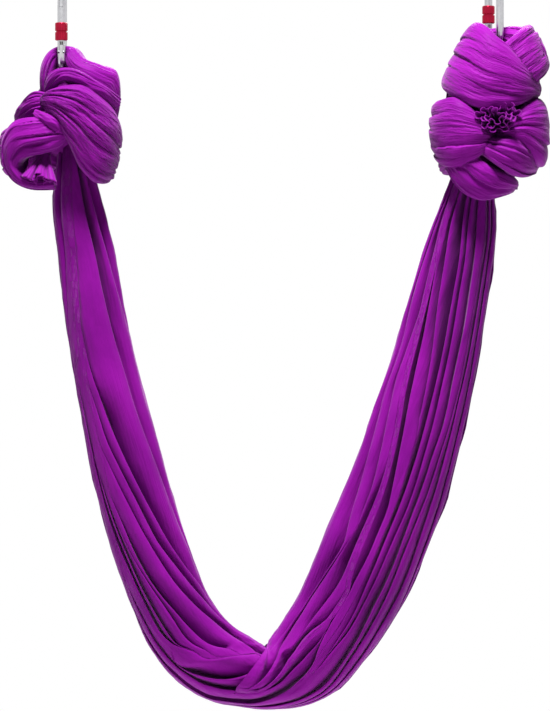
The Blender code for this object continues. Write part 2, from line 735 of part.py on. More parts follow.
def tail_rings(shares, room=0.0):
    """Rings of a tail: a gathered stem that opens into a frilled mouth, and back in to its throat.

    With room set, they are plain circles that clear the tail by that much.
    """
    foot = np.array(shares[0]) * HUNDREDTH_share * KNOT_SIZE
    way = np.array(shares[1], float)
    way /= np.linalg.norm(way)
    side = np.cross(way, (0.0, 0.0, 1.0))
    side /= np.linalg.norm(side)
    up = np.cross(side, way)
    around = np.linspace(0, math.tau, TAIL_SIDES, endpoint=False)
    frill = np.ones(TAIL_SIDES) if room else np.cos(around * TAIL_FRILLS)
    outside = [(i / TAIL_STEPS, room) for i in range(TAIL_STEPS + 1)]
    inside = [] if room else [(1 - i / TAIL_STEPS, -TAIL_THICKNESS) for i in range(TAIL_STEPS)]
    rings = []
    for t, over in outside + inside:
        reach = TAIL_STEM / 2 + (TAIL_MOUTH - TAIL_STEM) / 2 * t * t
        reach = reach * (1 + TAIL_FRILL_share * t * frill) + over
        rim = side * (reach * np.cos(around))[:, None] + up * (reach * np.sin(around))[:, None]
        lift = t - TAIL_FRILL_share * t * t * frill
        if over < 0:
            lift = np.maximum(lift, TAIL_THROAT_share)
        rings.append(foot + rim + way * (TAIL_LENGTH * lift - room)[:, None])
    if room:
        rings.append(rings[-1] + way * (2 * TAIL_FRILL_share * TAIL_LENGTH + OVERRUN))
    return rings


def make_tail(side, base, shares):
    """A tail and the room that it takes in its knot."""
    tail = link(side + "_tail", loft(side + "_tail", tail_rings(shares)), PARTS, CLOTH, None, base.location)
    room = loft("tail_room", tail_rings(shares, GAP))
    return tail, link(side + "_tail_room", room, CUTTERS, None, None, base.location)


# The bundle's two edges as seen from the front, from the left knot down and up to the right
# one: outer (x, z), inner (x, z), then its depth. x is in hundredths of EYE_SPACING from the
# left eye, z in hundredths of the way down from the knots to the lowest point, and the depth
# in hundredths of SLING_DEPTH.
SLING_shares = (
    (-1.5, 0.9, 6.9, 0, 46),
    (-2.4, 8.2, 9.6, 7.9, 56),
    (-1.2, 17.3, 12.6, 17.3, 62),
    (0, 25.5, 14.5, 25.5, 68),
    (1.5, 33.7, 16.4, 33.7, 72),
    (3.6, 43.7, 19.6, 43.7, 78),
    (6, 54.6, 23.5, 54.6, 84),
    (8.7, 63.8, 26.8, 63.8, 90),
    (11.8, 72.3, 30.3, 72.2, 95),
    (15.6, 80.5, 34.6, 80.2, 100),
    (20, 88.4, 39.3, 84.6, 100),
    (25.2, 93.8, 43.5, 86.7, 100),
    (32, 97.7, 45.8, 87.9, 100),
    (40, 99.4, 47, 88.5, 100),
    (47.6, 100, 47.6, 88.7, 100),
    (56, 99.3, 48.2, 88.2, 100),
    (63.2, 96.9, 49.4, 86.5, 100),
    (70, 91.2, 51.2, 83.8, 100),
    (75.4, 85.3, 53.8, 80.3, 98),
    (80.6, 78.3, 57, 74.8, 96),
    (85.2, 69.7, 60.6, 67.9, 94),
    (89.2, 61.2, 64.8, 60.3, 90),
    (92, 52.7, 68.8, 52.3, 85),
    (94.6, 44.3, 72.4, 44.1, 79),
    (96.8, 35, 76.4, 35, 72),
    (98.6, 26.1, 79.4, 26.4, 66),
    (100.2, 17, 82.8, 17.5, 60),
    (100.6, 11.8, 85.2, 12, 54),
    (100, 5.4, 88.6, 5.4, 44),
    (98.4, 0.4, 91.2, 0.2, 40),
)
# The main folds across the front, then the back, from the inner edge: place across (1 at the
# inner edge, -1 at the outer) and how far the cloth is drawn in there
LEFT_FRONT_shares = (
    (0.86, 0.0), (0.70, 0.16), (0.52, 0.0), (0.30, 0.10), (0.10, 0.04), (-0.06, 0.34),
    (-0.20, 0.0), (-0.40, 0.02), (-0.60, 0.05), (-0.74, 0.20), (-0.88, 0.0),
)
RIGHT_FRONT_shares = (
    (0.88, 0.0), (0.74, 0.26), (0.58, 0.0), (0.44, 0.24), (0.28, 0.0), (0.12, 0.42),
    (-0.06, 0.0), (-0.26, 0.26), (-0.44, 0.0), (-0.64, 0.26), (-0.84, 0.0),
)
LEFT_BACK_FOLDS_shares = (
    (-0.86, 0.0), (-0.68, 0.22), (-0.46, 0.0), (-0.26, 0.28), (-0.06, 0.0), (0.16, 0.24),
    (0.36, 0.0), (0.56, 0.24), (0.80, 0.0),
)
RIGHT_BACK_FOLDS_shares = (
    (-0.84, 0.0), (-0.64, 0.26), (-0.42, 0.0), (-0.20, 0.24), (0.0, 0.0), (0.24, 0.28),
    (0.44, 0.0), (0.64, 0.22), (0.84, 0.0),
)


def sling_rings(left, grow=0.0):
    """Rings of the hanging bundle, with its main folds running from knot to knot."""
    shares = np.array(SLING_shares) * HUNDREDTH_share
    flat = np.zeros(len(shares))
    head = SLING_HEAD_share * KNOT_SIZE
    drop = -(head + shares[:, [1, 3]] * (SLING_DROP - head))
    outer = np.stack([shares[:, 0] * EYE_SPACING, flat, drop[:, 0]], axis=1)
    inner = np.stack([shares[:, 2] * EYE_SPACING, flat, drop[:, 1]], axis=1)
    depth = shares[:, 4] * SLING_DEPTH / 2
    line = spline(np.concatenate([outer, inner, depth[:, None]], axis=1), SLING_RINGS)
    outer, inner, depth = line[:, 0:3] + left, line[:, 3:6] + left, line[:, 6]
    centre, across = (outer + inner) / 2, (inner - outer) / 2
    grown = 1 + grow / np.linalg.norm(across, axis=1)
    along = np.linspace(0, 1, SLING_RINGS)
    blend = along * along * (3 - 2 * along)

    def face(way, at_left, at_right):
        """The fold lines of one face, which change evenly from the left leg to the right one."""
        lines = []
        for one, two in zip(at_left, at_right):
            place = one[0] + (two[0] - one[0]) * blend
            drawn = one[1] + (two[1] - one[1]) * blend
            line = centre + across * (place * grown)[:, None]
            line[:, 1] += way * (depth * np.sqrt(1 - place * place) * (1 - drawn) + grow)
            lines.append(line)
        return lines

    rim = [centre + across * grown[:, None]]
    rim += face(-1, LEFT_FRONT_shares, RIGHT_FRONT_shares)
    rim.append(centre - across * grown[:, None])
    rim += face(1, LEFT_BACK_FOLDS_shares, RIGHT_BACK_FOLDS_shares)
    return np.stack(rim, axis=1)


clear_scene()
PARTS = collection("aerial_sling")
CUTTERS = collection("cutters")
ALLOY = material("alloy", (0.62, 0.62, 0.64), 0.28, 1.0)
STEEL = material("steel", (0.45, 0.45, 0.46), 0.30, 1.0)
RED = material("red_anodised", (0.55, 0.02, 0.05), 0.30, 0.8)
CLOTH = material("silk", SILK, 0.60, 0.0)

ANCHOR_Z = CARABINER_LENGTH - BAR_DEPTH
left_place = Vector((0, 0, -ANCHOR_Z))
right_place = Vector((EYE_SPACING, 0, RIGHT_RAISE - ANCHOR_Z))
left = make_carabiner("left", left_place, 0)
right = make_carabiner("right", right_place, RIGHT_TURN_DEGREES)

sling = link("sling", loft("sling", sling_rings(left_place)), PARTS, CLOTH)
sling_room = link("sling_room", loft("sling_room", sling_rings(left_place, GAP)), CUTTERS)

LEFT_WRAPS = (
    LEFT_LOOP_shares,
    LEFT_ARCH_shares,
    LEFT_FAN_shares,
    LEFT_GATHER_shares,
    LEFT_LOBE_shares,
    LEFT_SIDE_shares,
    LEFT_BACK_shares,
    LEFT_TWIST_shares,
)
RIGHT_WRAPS = (
    RIGHT_LOOP_shares,
    RIGHT_SHOULDER_shares,
    RIGHT_UPPER_shares,
    RIGHT_LEFT_LOBE_shares,
    RIGHT_RIGHT_LOBE_shares,
    RIGHT_LOWER_shares,
    RIGHT_BOTTOM_shares,
    RIGHT_BACK_shares,
)
cloth = (
    ("left", left, LEFT_WRAPS, LEFT_CORES_shares, LEFT_DETAIL_share, LEFT_TAIL_shares),
    ("right", right, RIGHT_WRAPS, RIGHT_CORES_shares, RIGHT_DETAIL_share, RIGHT_TAIL_shares),
)
for side, base, wraps, cores, detail, tail_shares in cloth:
    tail, tail_room = make_tail(side, base, tail_shares)
    rooms = (*clearances(side, base), sling_room, tail_room)
    make_knot(side, base, wraps, cores, detail, rooms)
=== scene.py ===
"""Looks of the aerial sling: one wide purple cloth knotted onto two screw-lock carabiners.

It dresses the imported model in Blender 4.5. Metres, +Z up, -Y towards the viewer. The origin is
the inside of the left carabiner's top bow.
"""

import math

import bmesh
import bpy
import numpy as np
from mathutils import Matrix, Vector
from mathutils.kdtree import KDTree


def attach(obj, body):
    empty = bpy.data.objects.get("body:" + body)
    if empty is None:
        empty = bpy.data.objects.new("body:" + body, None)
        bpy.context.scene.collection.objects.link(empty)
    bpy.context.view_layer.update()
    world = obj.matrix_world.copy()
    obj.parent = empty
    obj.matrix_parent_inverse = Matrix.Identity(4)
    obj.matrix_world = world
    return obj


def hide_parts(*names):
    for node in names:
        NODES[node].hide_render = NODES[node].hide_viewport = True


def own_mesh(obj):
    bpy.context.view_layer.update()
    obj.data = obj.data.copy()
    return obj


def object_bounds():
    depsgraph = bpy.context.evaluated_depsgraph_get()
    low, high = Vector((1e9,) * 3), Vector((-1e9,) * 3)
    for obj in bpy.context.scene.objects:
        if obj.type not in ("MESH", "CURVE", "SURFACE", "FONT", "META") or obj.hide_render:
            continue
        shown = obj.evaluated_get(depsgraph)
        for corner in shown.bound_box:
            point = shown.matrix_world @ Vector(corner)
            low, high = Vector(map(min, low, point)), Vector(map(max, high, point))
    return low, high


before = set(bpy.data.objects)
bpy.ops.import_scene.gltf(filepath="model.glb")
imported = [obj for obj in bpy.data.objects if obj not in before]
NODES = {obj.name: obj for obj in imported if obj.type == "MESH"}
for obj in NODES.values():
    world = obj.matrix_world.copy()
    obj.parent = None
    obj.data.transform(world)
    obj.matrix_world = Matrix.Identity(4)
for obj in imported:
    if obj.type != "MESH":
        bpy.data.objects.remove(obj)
CAD_BOX = [list(corner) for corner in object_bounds()]
BODY = "hanging_sling"

# The photograph: where its middle is on the object, and how far away it was taken
PHOTO_HEIGHT = 711  # pixels
PIXEL = 0.00126  # what one of them shows of the object
PHOTO_MIDDLE = (0.2679, 0, -0.4588)
VIEWING_DISTANCE = 5.0
SENSOR = 36  # mm

MM = 0.001

# Hanging cloth
EYE_SPACING = 0.544
EYE_RISE = 0.025  # of the right carabiner over the left one
KNOT_SIZE = 0.125
SLING_HEAD = 0.111  # foot of the left frame down to where the legs leave the knots
SLING_DROP = 0.803  # foot of the left frame down to the lowest point
SLING_DEPTH = 0.090
HANGING_LENGTH = 1.5

# Carabiners. Heights run up from the foot of the frame
CARABINER_LENGTH = 0.112
BOW_DROP = 0.1016  # inside of the top bow to the foot
GATE_Y = -0.023
HINGE_HEIGHT = 0.0277
GATE_TRAVEL_DEGREES = 28
SLEEVE_DIAMETER = 0.0158
RIGHT_TURN_DEGREES = 195

# Room that the cloth leaves for the bar, for the sleeve and for the gate's foot
BAR_ROOM = 0.0004
SLEEVE_ROOM = 1.2 * MM
HINGE_ROOM = 5.6 * MM

# Looks
CLOTH_DARK = (0.14, 0.001, 0.168, 1)
CLOTH_LIGHT = (0.215, 0.003, 0.245, 1)
CLOTH_LOOKS = {
    "Sheen Weight": 0.14,
    "Sheen Roughness": 0.5,
    "Sheen Tint": (0.95, 0.62, 0.98, 1),
    "Specular IOR Level": 0.03,
}
# Small creases of the cloth: how many to a metre across and along it, and their depth in m
CREASES = ((120, 14, 0.004), (330, 30, 0.0016))
# How strongly the cloth is creased: the sling, each pleat of a wrap, and the free ends
SLING_CREASED, PLEAT_CREASED, FRILL_CREASED = 0.3, 0.2, 0.5
# Colour, roughness, scratches to a metre and their strength
METALS = {
    "alloy": ((0.56, 0.56, 0.58), 0.3, 900.0, 0.25),
    "steel": ((0.3, 0.3, 0.3), 0.3, 900.0, 0.15),
    "red_anodised": ((0.4, 0.012, 0.04), 0.3, 700.0, 0.15),
}
FLOOR_COLOUR = (0.9, 0.9, 0.9, 1)
FLOOR_GAP = 0.3  # under the cloth
FLOOR_RADIUS = 2.4
AMBIENT = 0.025  # strength of the white that lights the object
# Lamps: name, place, what it points at, size and power in W
LAMPS = (
    ("key", (0.15, -0.95, 2.5), (0.27, 0, -0.4), 0.7, 300),
    ("fill", (0.1, -3.2, -0.1), (0.27, 0, -0.45), 1.5, 1.6),
    ("rim", (0.6, 2.2, 1.4), (0.3, 0, -0.3), 1.0, 36),
)

# The fold lines of the front, from the inner edge to the outer one. A row is how far along the
# bundle (0 at the left knot, 100 at the right), the place across (100 inner edge, -100 outer), and
# how deep in mm the cloth lies before the line and behind it. Depths of 0 at the end of a row are
# left out, and 0.04 holds the line in its place without a fold. Where the distance along falls
# back, the rows of the right leg's cloth begin, which crosses in front there.
FRONT_FOLDS = (
    (
        (0, 45, 3), (3, 55, 4), (6, 61, 4), (10, 75, 5), (13, 93, 3), (15, 99, 0.1), (84, 99, 0.1),
        (87, 95.5, 3), (91, 94, 4), (100, 92, 3),
    ),
    (
        (0, 12, 9), (3, 17, 11), (10, 29, 11), (13, 38, 10), (17, 53, 10), (20, 60, 9), (25, 80, 8),
        (30, 95, 5), (32, 98.5), (51, 88), (55, 84, 2), (58, 81, 5), (61, 78.5, 9), (64, 69, 11),
        (66, 60, 11), (67, 56, 11), (70, 67, 11), (75, 77, 9), (80, 86, 7), (84, 83, 4), (88, 87, 5),
        (92, 84, 5), (100, 82, 4),
    ),
    (
        (0, -10, 0.04), (5, -24, 0.04), (10, -40, 0.04), (14, -50, 0.04), (17, -45, 0.1), (19, -36, 0.6),
        (20.5, -27, 3), (22, -15, 8), (25, 10, 11), (28, 35, 12), (30, 50, 12), (32, 70, 9), (34, 95, 3),
        (36, 97.5), (49, 98.5), (46.4, -42), (47.2, -30), (47.7, -18, 0.3), (48.4, 10, 1), (50.1, 46, 5),
        (53, 72, 5), (57, 74, 8), (61, 74, 9), (64, 64, 7), (66, 56, 2), (68, 47), (72, 46, 3), (77, 60, 4),
        (81, 72, 4), (84, 68, 4), (86, 62, 5), (88, 64, 5), (91, 67, 6), (95, 73, 6), (100, 72, 5),
    ),
    (
        (18, -58), (22, -42, 3), (25, -15, 5), (27, 2, 6), (30, 22, 9), (33, 60, 9), (35, 85, 6),
        (38, 96, 2), (41, 96), (49, 97), (46.4, -41), (56, 52), (60, 46, 3), (63, 34, 7), (66, 36, 11),
        (70, 34, 8), (72, 34, 4), (73.5, 36, 0.3), (77, 45, 0.04), (80, 57, 0.04), (82, 62, 0.04), (84, 61),
    ),
    (
        (22, -60), (27, -22, 2), (30, 0, 4), (33, 25, 6), (35, 50, 8), (37, 70, 9), (38.5, 76, 10),
        (42, 77, 10), (45, 78, 9), (49, 82, 9), (47.2, -38), (48.4, -26, 1), (49, -15, 4), (50.3, 11, 6),
        (51.5, 26, 7), (53, 40, 11), (56, 45, 12, 2), (58, 38, 9, 1), (59.5, 24, 4), (62, 20),
    ),
    (
        (26, -62), (31, -42, 2), (33, -30, 5), (36, 0, 8), (38, 12, 9), (40, 20, 7), (41, 34, 2), (41.8, 52),
        (49, 46), (46, -30),
    ),
    (
        (28, -66), (32, -46, 2), (35, -22, 5), (37, -14, 6), (38.6, -14, 6), (39.6, -8, 3), (40.6, 10),
        (49, 16), (46, -30),
    ),
    (
        (24, -80), (27, -76, 4), (30, -68, 6), (34, -56, 7), (38, -44, 7), (39.3, -38, 3), (40, -10),
        (49, -10), (46, -30),
    ),
    (
        (18, -90), (23, -86, 4), (27, -83, 6), (30, -78, 8), (33, -68, 8), (36, -62, 8), (38, -58, 8),
        (39, -45, 9), (40, -12, 10), (41, 12, 10), (42, 40, 10), (43, 55, 10), (44.8, 75, 10), (46.4, 93, 9),
        (49, 97, 8), (46, -30),
    ),
    (
        (41.4, -68), (42.4, -57, 4), (43.5, -43, 6), (44.6, -26, 8), (45.6, -4, 8), (46.2, 14, 8),
        (49, 60, 8), (46, -30),
    ),
    (
        (34, -88), (40, -78, 4), (43, -68, 8), (45, -55, 10), (47, -48, 11), (48, -40, 11), (50, -20, 11),
        (51.5, 0, 11), (53, 10, 11), (55, 12, 10), (57, 9, 5), (58, 12.5),
    ),
    (
        (36, -96), (41, -93, 3), (45, -92, 6), (48, -80, 8), (50, -50, 9), (52, -25, 9), (54, -13, 8),
        (55, -9, 6), (56, 0, 5), (58, 10, 6), (61, 13, 7), (64, 7, 7), (66, 3, 7), (70, 2, 9), (72, 8, 10),
        (75, 17, 10), (79, 28, 10), (82, 35, 10), (85, 38, 10), (88, 45, 9), (91, 55, 8), (94, 57, 8),
        (100, 50, 6),
    ),
    (
        (64, -5, 0.04), (70, -7, 0.04), (76, -6, 0.1), (80, 0, 4), (83, 8, 6), (87, 20, 7), (90, 27, 8),
        (94, 38, 8), (100, 36, 6),
    ),
    (
        (56, -21), (60, -22, 3), (64, -16, 5), (70, -17, 12), (75, -20, 13), (80, -18, 10), (85, -15, 11),
        (90, -10, 16, 1), (95, 5, 14), (100, 4, 8),
    ),
    (
        (55, -24), (57, -26, 5), (59, -32, 6), (62, -29, 5), (66, -30, 5), (70, -34, 5), (77, -35, 5),
        (80, -32, 6), (85, -30, 6), (90, -25, 6), (94, -15, 5), (100, -14, 4),
    ),
    (
        (46, -97), (50, -86, 3), (52, -76, 5), (55, -66, 8), (58, -60, 9), (62, -50, 10), (66, -50, 9),
        (70, -47, 8), (74, -50, 6), (77, -56, 5), (81, -53, 6), (86, -54, 6), (90, -50, 7), (94, -42, 6),
        (100, -40, 5),
    ),
    (
        (50, -93), (55, -78, 4), (58, -70, 6), (62, -65, 6), (66, -60, 5), (70, -61, 5), (76, -67, 3),
        (80, -68, 1), (100, -62),
    ),
    (
        (0, -66, 2, 4), (4, -66, 2, 4), (8, -72, 1, 3), (12, -86, 0, 1), (16, -96.5), (50, -95.5),
        (56, -90, 3), (62, -84, 5), (66, -82, 6), (70, -76, 6), (75, -76, 6), (79, -73, 5), (82, -77, 5),
        (88, -78, 5), (100, -76, 5),
    ),
    (
        (62, -97), (72, -91, 4), (82, -90, 4), (90, -88, 5), (100, -90, 4),
    ),
)

# Edge of the right leg's cloth where it crosses in front: place across and how far along
CROSSING_PLACE = (-0.4, -0.2, 0.0, 0.3, 0.55, 0.8, 1.0)
CROSSING_ALONG = (46.0, 46.1, 46.15, 46.3, 46.45, 46.8, 47.7)
CROSSING_AT = 46.0
CROSSING_REACH = 6.0  # per cent along on each side over which the cross-sections lean with it
CROSSING_RISE = 6.0  # mm
CROSSING_FADE = (62, 12)  # per cent along where the rise has gone, and over how much
CROSSING_TUCK = 2.2  # per cent along, of the left leg's cloth under the right leg's
STRAND_BELOW = 10  # the fold line of the strand that it runs under
STRAND_FADE = 0.22  # radians over which the crossing fades towards that strand
BACK_FADE = (0.9, 0.6)  # radians behind the inner edge where it has gone, and over how much

# The hanging bundle: how far across and down its outer edge lies, the same for its inner edge,
# and its depth, in per cent of EYE_SPACING, of the drop and of SLING_DEPTH
SLING_SHARES = (
    (-1.5, 0.9, 6.9, 0, 46), (-2.4, 8.2, 9.6, 7.9, 56), (-1.2, 17.3, 12.6, 17.3, 62),
    (0, 25.5, 14.5, 25.5, 68), (1.5, 33.7, 16.4, 33.7, 72), (3.6, 43.7, 19.6, 43.7, 78),
    (6, 54.6, 23.5, 54.6, 84), (8.7, 63.8, 26.8, 63.8, 90), (11.8, 72.3, 30.3, 72.2, 95),
    (15.6, 80.5, 34.6, 80.2, 100), (20, 88.4, 39.3, 84.6, 100), (25.2, 93.8, 43.5, 86.7, 100),
    (32, 97.7, 45.8, 87.9, 100), (40, 99.4, 47, 88.5, 100), (47.6, 100, 47.6, 88.7, 100),
    (56, 99.3, 48.2, 88.2, 100), (63.2, 96.9, 49.4, 86.5, 100), (70, 91.2, 51.2, 83.8, 100),
    (75.4, 85.3, 53.8, 80.3, 98), (80.6, 78.3, 57, 74.8, 96), (85.2, 69.7, 60.6, 67.9, 94),
    (89.2, 61.2, 64.8, 60.3, 90), (92, 52.7, 68.8, 52.3, 85), (94.6, 44.3, 72.4, 44.1, 79),
    (96.8, 35, 76.4, 35, 72), (98.6, 26.1, 79.4, 26.4, 66), (100.2, 17, 82.8, 17.5, 60),
    (100.6, 11.8, 85.2, 12, 54), (100, 5.4, 88.6, 5.4, 44), (98.4, 0.4, 91.2, 0.2, 40),
)

# The wraps of each knot: the two edges of a wrap (x, y, z) and half its thickness, in per cent
# of KNOT_SIZE from the foot of the frame
LEFT_LOOP_SHARES = (
    (-16, 8, -36, -4, 4, -36, 14), (-22, 2, -14, -6, 0, -14, 15), (-21, 0, 8, -5, 0, 2, 15),
    (-14, 0, 20, -3, 0, 8, 14), (-6, 0, 25, -1.5, 0, 9.2, 12.6), (0, 0, 26, 0, 0, 9.2, 12.4),
    (6, 0, 26, 2, 0, 9, 12.6), (14, -2, 24, 5, 0, 6, 16), (24, -5, 13, 9, -3, -8, 19),
    (39, -4, 7, 22, -5, -20, 21), (52, 3, 2, 32, 0, -32, 21), (57, 8, -24, 36, 6, -44, 19),
    (54, 12, -50, 32, 8, -56, 15),
)

LEFT_ARCH_SHARES = (
    (-14, -24, -16, -10, -27, -26, 6), (-11, -30, -5, -4, -33, -17, 7), (-4, -33, 0, 2, -36, -12, 8),
    (6, -34, 1, 9, -38, -12, 8), (18, -33, -2, 18, -38, -16, 8), (28, -31, -8, 27, -37, -22, 8),
    (40, -26, -16, 40, -32, -28, 8), (54, -10, -26, 54, -14, -38, 8),
)

LEFT_FAN_SHARES = (
    (-17, -29, -27, -15, -29, -37, 6), (-10, -37, -21, -10, -37, -44, 9), (2, -41, -17, -1, -40, -56, 11),
    (20, -42, -16, 9, -40, -76, 12), (38, -35, -26, 20, -36, -98, 12), (50, -20, -38, 34, -25, -112, 12),
    (52, 2, -54, 42, -4, -112, 12), (44, 24, -58, 40, 16, -106, 10),
)

LEFT_GATHER_SHARES = (
    (-14, -27, -23, -14, -29, -40, 6), (-25, -25, -21, -24, -28, -44, 8), (-35, -15, -30, -33, -18, -50, 9),
    (-42, 2, -38, -38, 2, -56, 9), (-34, 22, -42, -34, 20, -62, 8),
)

LEFT_LOBE_SHARES = (
    (4, -34, -53, 6, -34, -71, 8), (-12, -38, -49, -2, -36, -79, 10), (-32, -38, -48, -16, -36, -84, 12),
    (-48, -32, -53, -30, -34, -87, 13), (-57, -26, -69, -37, -32, -91, 13),
    (-57, -24, -89, -40, -30, -97, 12), (-48, -24, -108, -36, -30, -103, 11),
    (-32, -24, -117, -28, -30, -107, 10), (-5, -22, -118, -8, -28, -108, 9),
)

LEFT_SIDE_SHARES = (
    (-44, -20, -52, -40, -24, -100, 12), (-54, -4, -58, -50, -4, -104, 12),
    (-48, 14, -52, -46, 12, -106, 12), (-30, 28, -46, -30, 28, -106, 12),
)

LEFT_BACK_SHARES = (
    (-40, 14, -40, -46, 10, -100, 11), (-24, 34, -16, -28, 32, -104, 13), (4, 44, 2, -2, 44, -106, 14),
    (30, 40, -2, 22, 42, -108, 14), (48, 22, -26, 40, 24, -104, 12),
)

LEFT_TWIST_SHARES = (
    (-24, -36, -40, -26, -38, -47, 4), (-14, -43, -44, -18, -45, -54, 4), (-4, -45, -50, -8, -46, -61, 4),
    (6, -38, -58, 2, -38, -68, 5),
)

# The rounded heart of a knot: centre and half size of its lumps, in the same per cent
LEFT_CORES_SHARES = (
    (4, 6, -46, 38, 26, 42), (-22, 12, -74, 26, 17, 28),
)

RIGHT_LOOP_SHARES = (
    (-34, 6, 4, -26, 2, -20, 18), (-24, 4, 16, -18, 0, -4, 16), (-10, 0, 22, -6, 0, 6, 13),
    (0, 0, 24, 0, 0, 9.2, 12.4), (8, 0, 25, 5, 0, 8, 13), (20, 0, 26, 14, 0, 0, 19),
    (36, 0, 22, 24, 0, -12, 23), (50, 0, 6, 30, 0, -26, 23), (52, 2, -14, 30, 2, -40, 21),
)

RIGHT_SHOULDER_SHARES = (
    (16, 30, 18, 34, 32, -36, 10), (28, 18, 26, 46, 20, -26, 10), (32, 0, 27, 52, 0, -20, 9),
    (24, -24, 20, 46, -24, -28, 10), (10, -33, 8, 36, -33, -36, 10), (-4, -34, -4, 18, -34, -46, 8),
)

RIGHT_UPPER_SHARES = (
    (-13, 28, 20, -46, 28, -36, 10), (-18, 6, 26, -49, 4, -38, 10), (-15, -16, 28, -46, -20, -44, 11),
    (-7, -30, 22, -34, -37, -52, 12), (2, -38, 12, -18, -44, -59, 13), (13, -38, 3, 2, -45, -61, 13),
    (26, -34, -12, 18, -40, -57, 12), (37, -18, -27, 31, -24, -49, 11), (39, 4, -36, 36, 2, -46, 9),
    (32, 20, -34, 30, 20, -46, 8),
)

RIGHT_LEFT_LOBE_SHARES = (
    (-40, 26, -42, -42, 24, -106, 10), (-54, 6, -50, -52, 6, -108, 12), (-52, -20, -49, -48, -20, -116, 13),
    (-40, -34, -48, -36, -34, -118, 13), (-25, -40, -58, -22, -40, -111, 12),
    (-14, -36, -74, -10, -37, -101, 9), (-2, -26, -84, 0, -28, -94, 6),
)

RIGHT_RIGHT_LOBE_SHARES = (
    (2, -28, -82, 4, -28, -90, 5), (12, -37, -72, 14, -38, -90, 8), (25, -37, -58, 25, -38, -96, 11),
    (38, -24, -48, 41, -27, -112, 12), (43, 2, -50, 45, 2, -116, 11), (32, 26, -52, 34, 26, -106, 9),
)

RIGHT_LOWER_SHARES = (
    (-8, -30, -92, -16, -31, -104, 7), (4, -41, -89, -7, -41, -111, 10), (17, -43, -89, 6, -43, -120, 11),
    (30, -30, -96, 20, -32, -127, 11), (35, -8, -104, 32, -10, -125, 10), (37, 6, -106, 35, 8, -122, 9),
    (32, 18, -104, 30, 18, -118, 8),
)

RIGHT_BOTTOM_SHARES = (
    (-40, 24, -104, -42, 22, -122, 9), (-44, 4, -102, -48, 2, -124, 10),
    (-24, -36, -104, -47, -18, -122, 10), (-15, -40, -110, -42, -25, -132, 10),
    (-5, -40, -117, -32, -29, -143, 10), (8, -36, -123, -16, -28, -149, 10),
    (19, -24, -127, 4, -20, -142, 9), (21, -4, -128, 10, -4, -138, 9), (14, 16, -122, 8, 16, -134, 8),
)

RIGHT_BACK_SHARES = (
    (-30, 14, 4, -45, 14, -88, 11), (-24, 32, 20, -36, 32, -100, 13), (-6, 42, 26, -10, 42, -106, 14),
    (22, 38, 20, 20, 38, -104, 13), (42, 18, -10, 38, 20, -94, 11),
)

RIGHT_CORES_SHARES = (
    (-4, 0, -46, 42, 32, 60), (-8, 0, -96, 38, 28, 42),
)

# For each wrap: pleats on each of its faces, how deep in mm, and which way they lie
LEFT_WRAPS = (
    (LEFT_LOOP_SHARES, 7, 3.8, 1),
    (LEFT_ARCH_SHARES, 6, 2.8, 1),
    (LEFT_FAN_SHARES, 14, 4.2, -1),
    (LEFT_GATHER_SHARES, 9, 4.2, 1),
    (LEFT_LOBE_SHARES, 6, 4.6, -1),
    (LEFT_SIDE_SHARES, 9, 2.4, 1),
    (LEFT_BACK_SHARES, 12, 2.6, 1),
    (LEFT_TWIST_SHARES, 4, 2.4, 1),
)
RIGHT_WRAPS = (
    (RIGHT_LOOP_SHARES, 9, 3.0, -1),
    (RIGHT_SHOULDER_SHARES, 10, 3.0, 1),
    (RIGHT_UPPER_SHARES, 7, 3.4, -1),
    (RIGHT_LEFT_LOBE_SHARES, 7, 3.4, 1),
    (RIGHT_RIGHT_LOBE_SHARES, 6, 3.4, -1),
    (RIGHT_LOWER_SHARES, 7, 3.6, 1),
    (RIGHT_BOTTOM_SHARES, 7, 3.6, -1),
    (RIGHT_BACK_SHARES, 12, 2.6, 1),
)

KNOT_GRAIN = 0.85 * MM  # size of the cells that the wraps of a knot are merged on
KNOT_TRIANGLES = 195_000
WRAP_RUN = 110  # rings along a wrap
WRAP_ROUND = 220  # points round a ring
FLATNESS = 0.62  # power of a wrap's profile, 1 for an ellipse
PLEAT_UNEVENNESS = 0.42  # of a pleat's width
PLEAT_DRIFT = 0.55  # of half a pleat's width

# Free ends of the cloth: root in per cent of KNOT_SIZE from the foot of the frame, direction,
# then turns, half width and half height of the mouth, length, and length and swing of its
# waves, in mm
LEFT_FRILL = ((-16, -28, -84), (-4, -11, -24), (1.3, 27, 9, 37, 17, 3.4))
RIGHT_FRILL = ((2, -29, -72), (-2, -26, 5), (3.4, 27, 21, 28, 14, 3.2))
FRILL_ROWS = 22
FRILL_POINTS = 130  # to a turn
FRILL_THICKNESS = 0.8 * MM

BACK_FOLDS = 24
STEPS_ALONG = 1000  # fine steps that the fold lines are smoothed on
LINE_SMOOTHING = 4.5  # steps
HELD_ALONG = 1.8  # per cent along that a fold line keeps its place before it starts and after it ends
# Fold lines that have ended lie evenly between those that go on, drawn to the one before them
# to this share of the way: per cent along, then the share
FREE_SHARES = ((12, 20), (0.9, 0.45))
# Cross-sections of the left leg and of the right one, away from the crossing and near it
LEFT_SECTIONS = (56, 25)
RIGHT_SECTIONS = (57, 27)
CLOSE_REACH = 1.3  # of CROSSING_REACH, where they lie closer
SECTION_STEP = 0.025  # per cent along, between those of the crossing where it has no fold
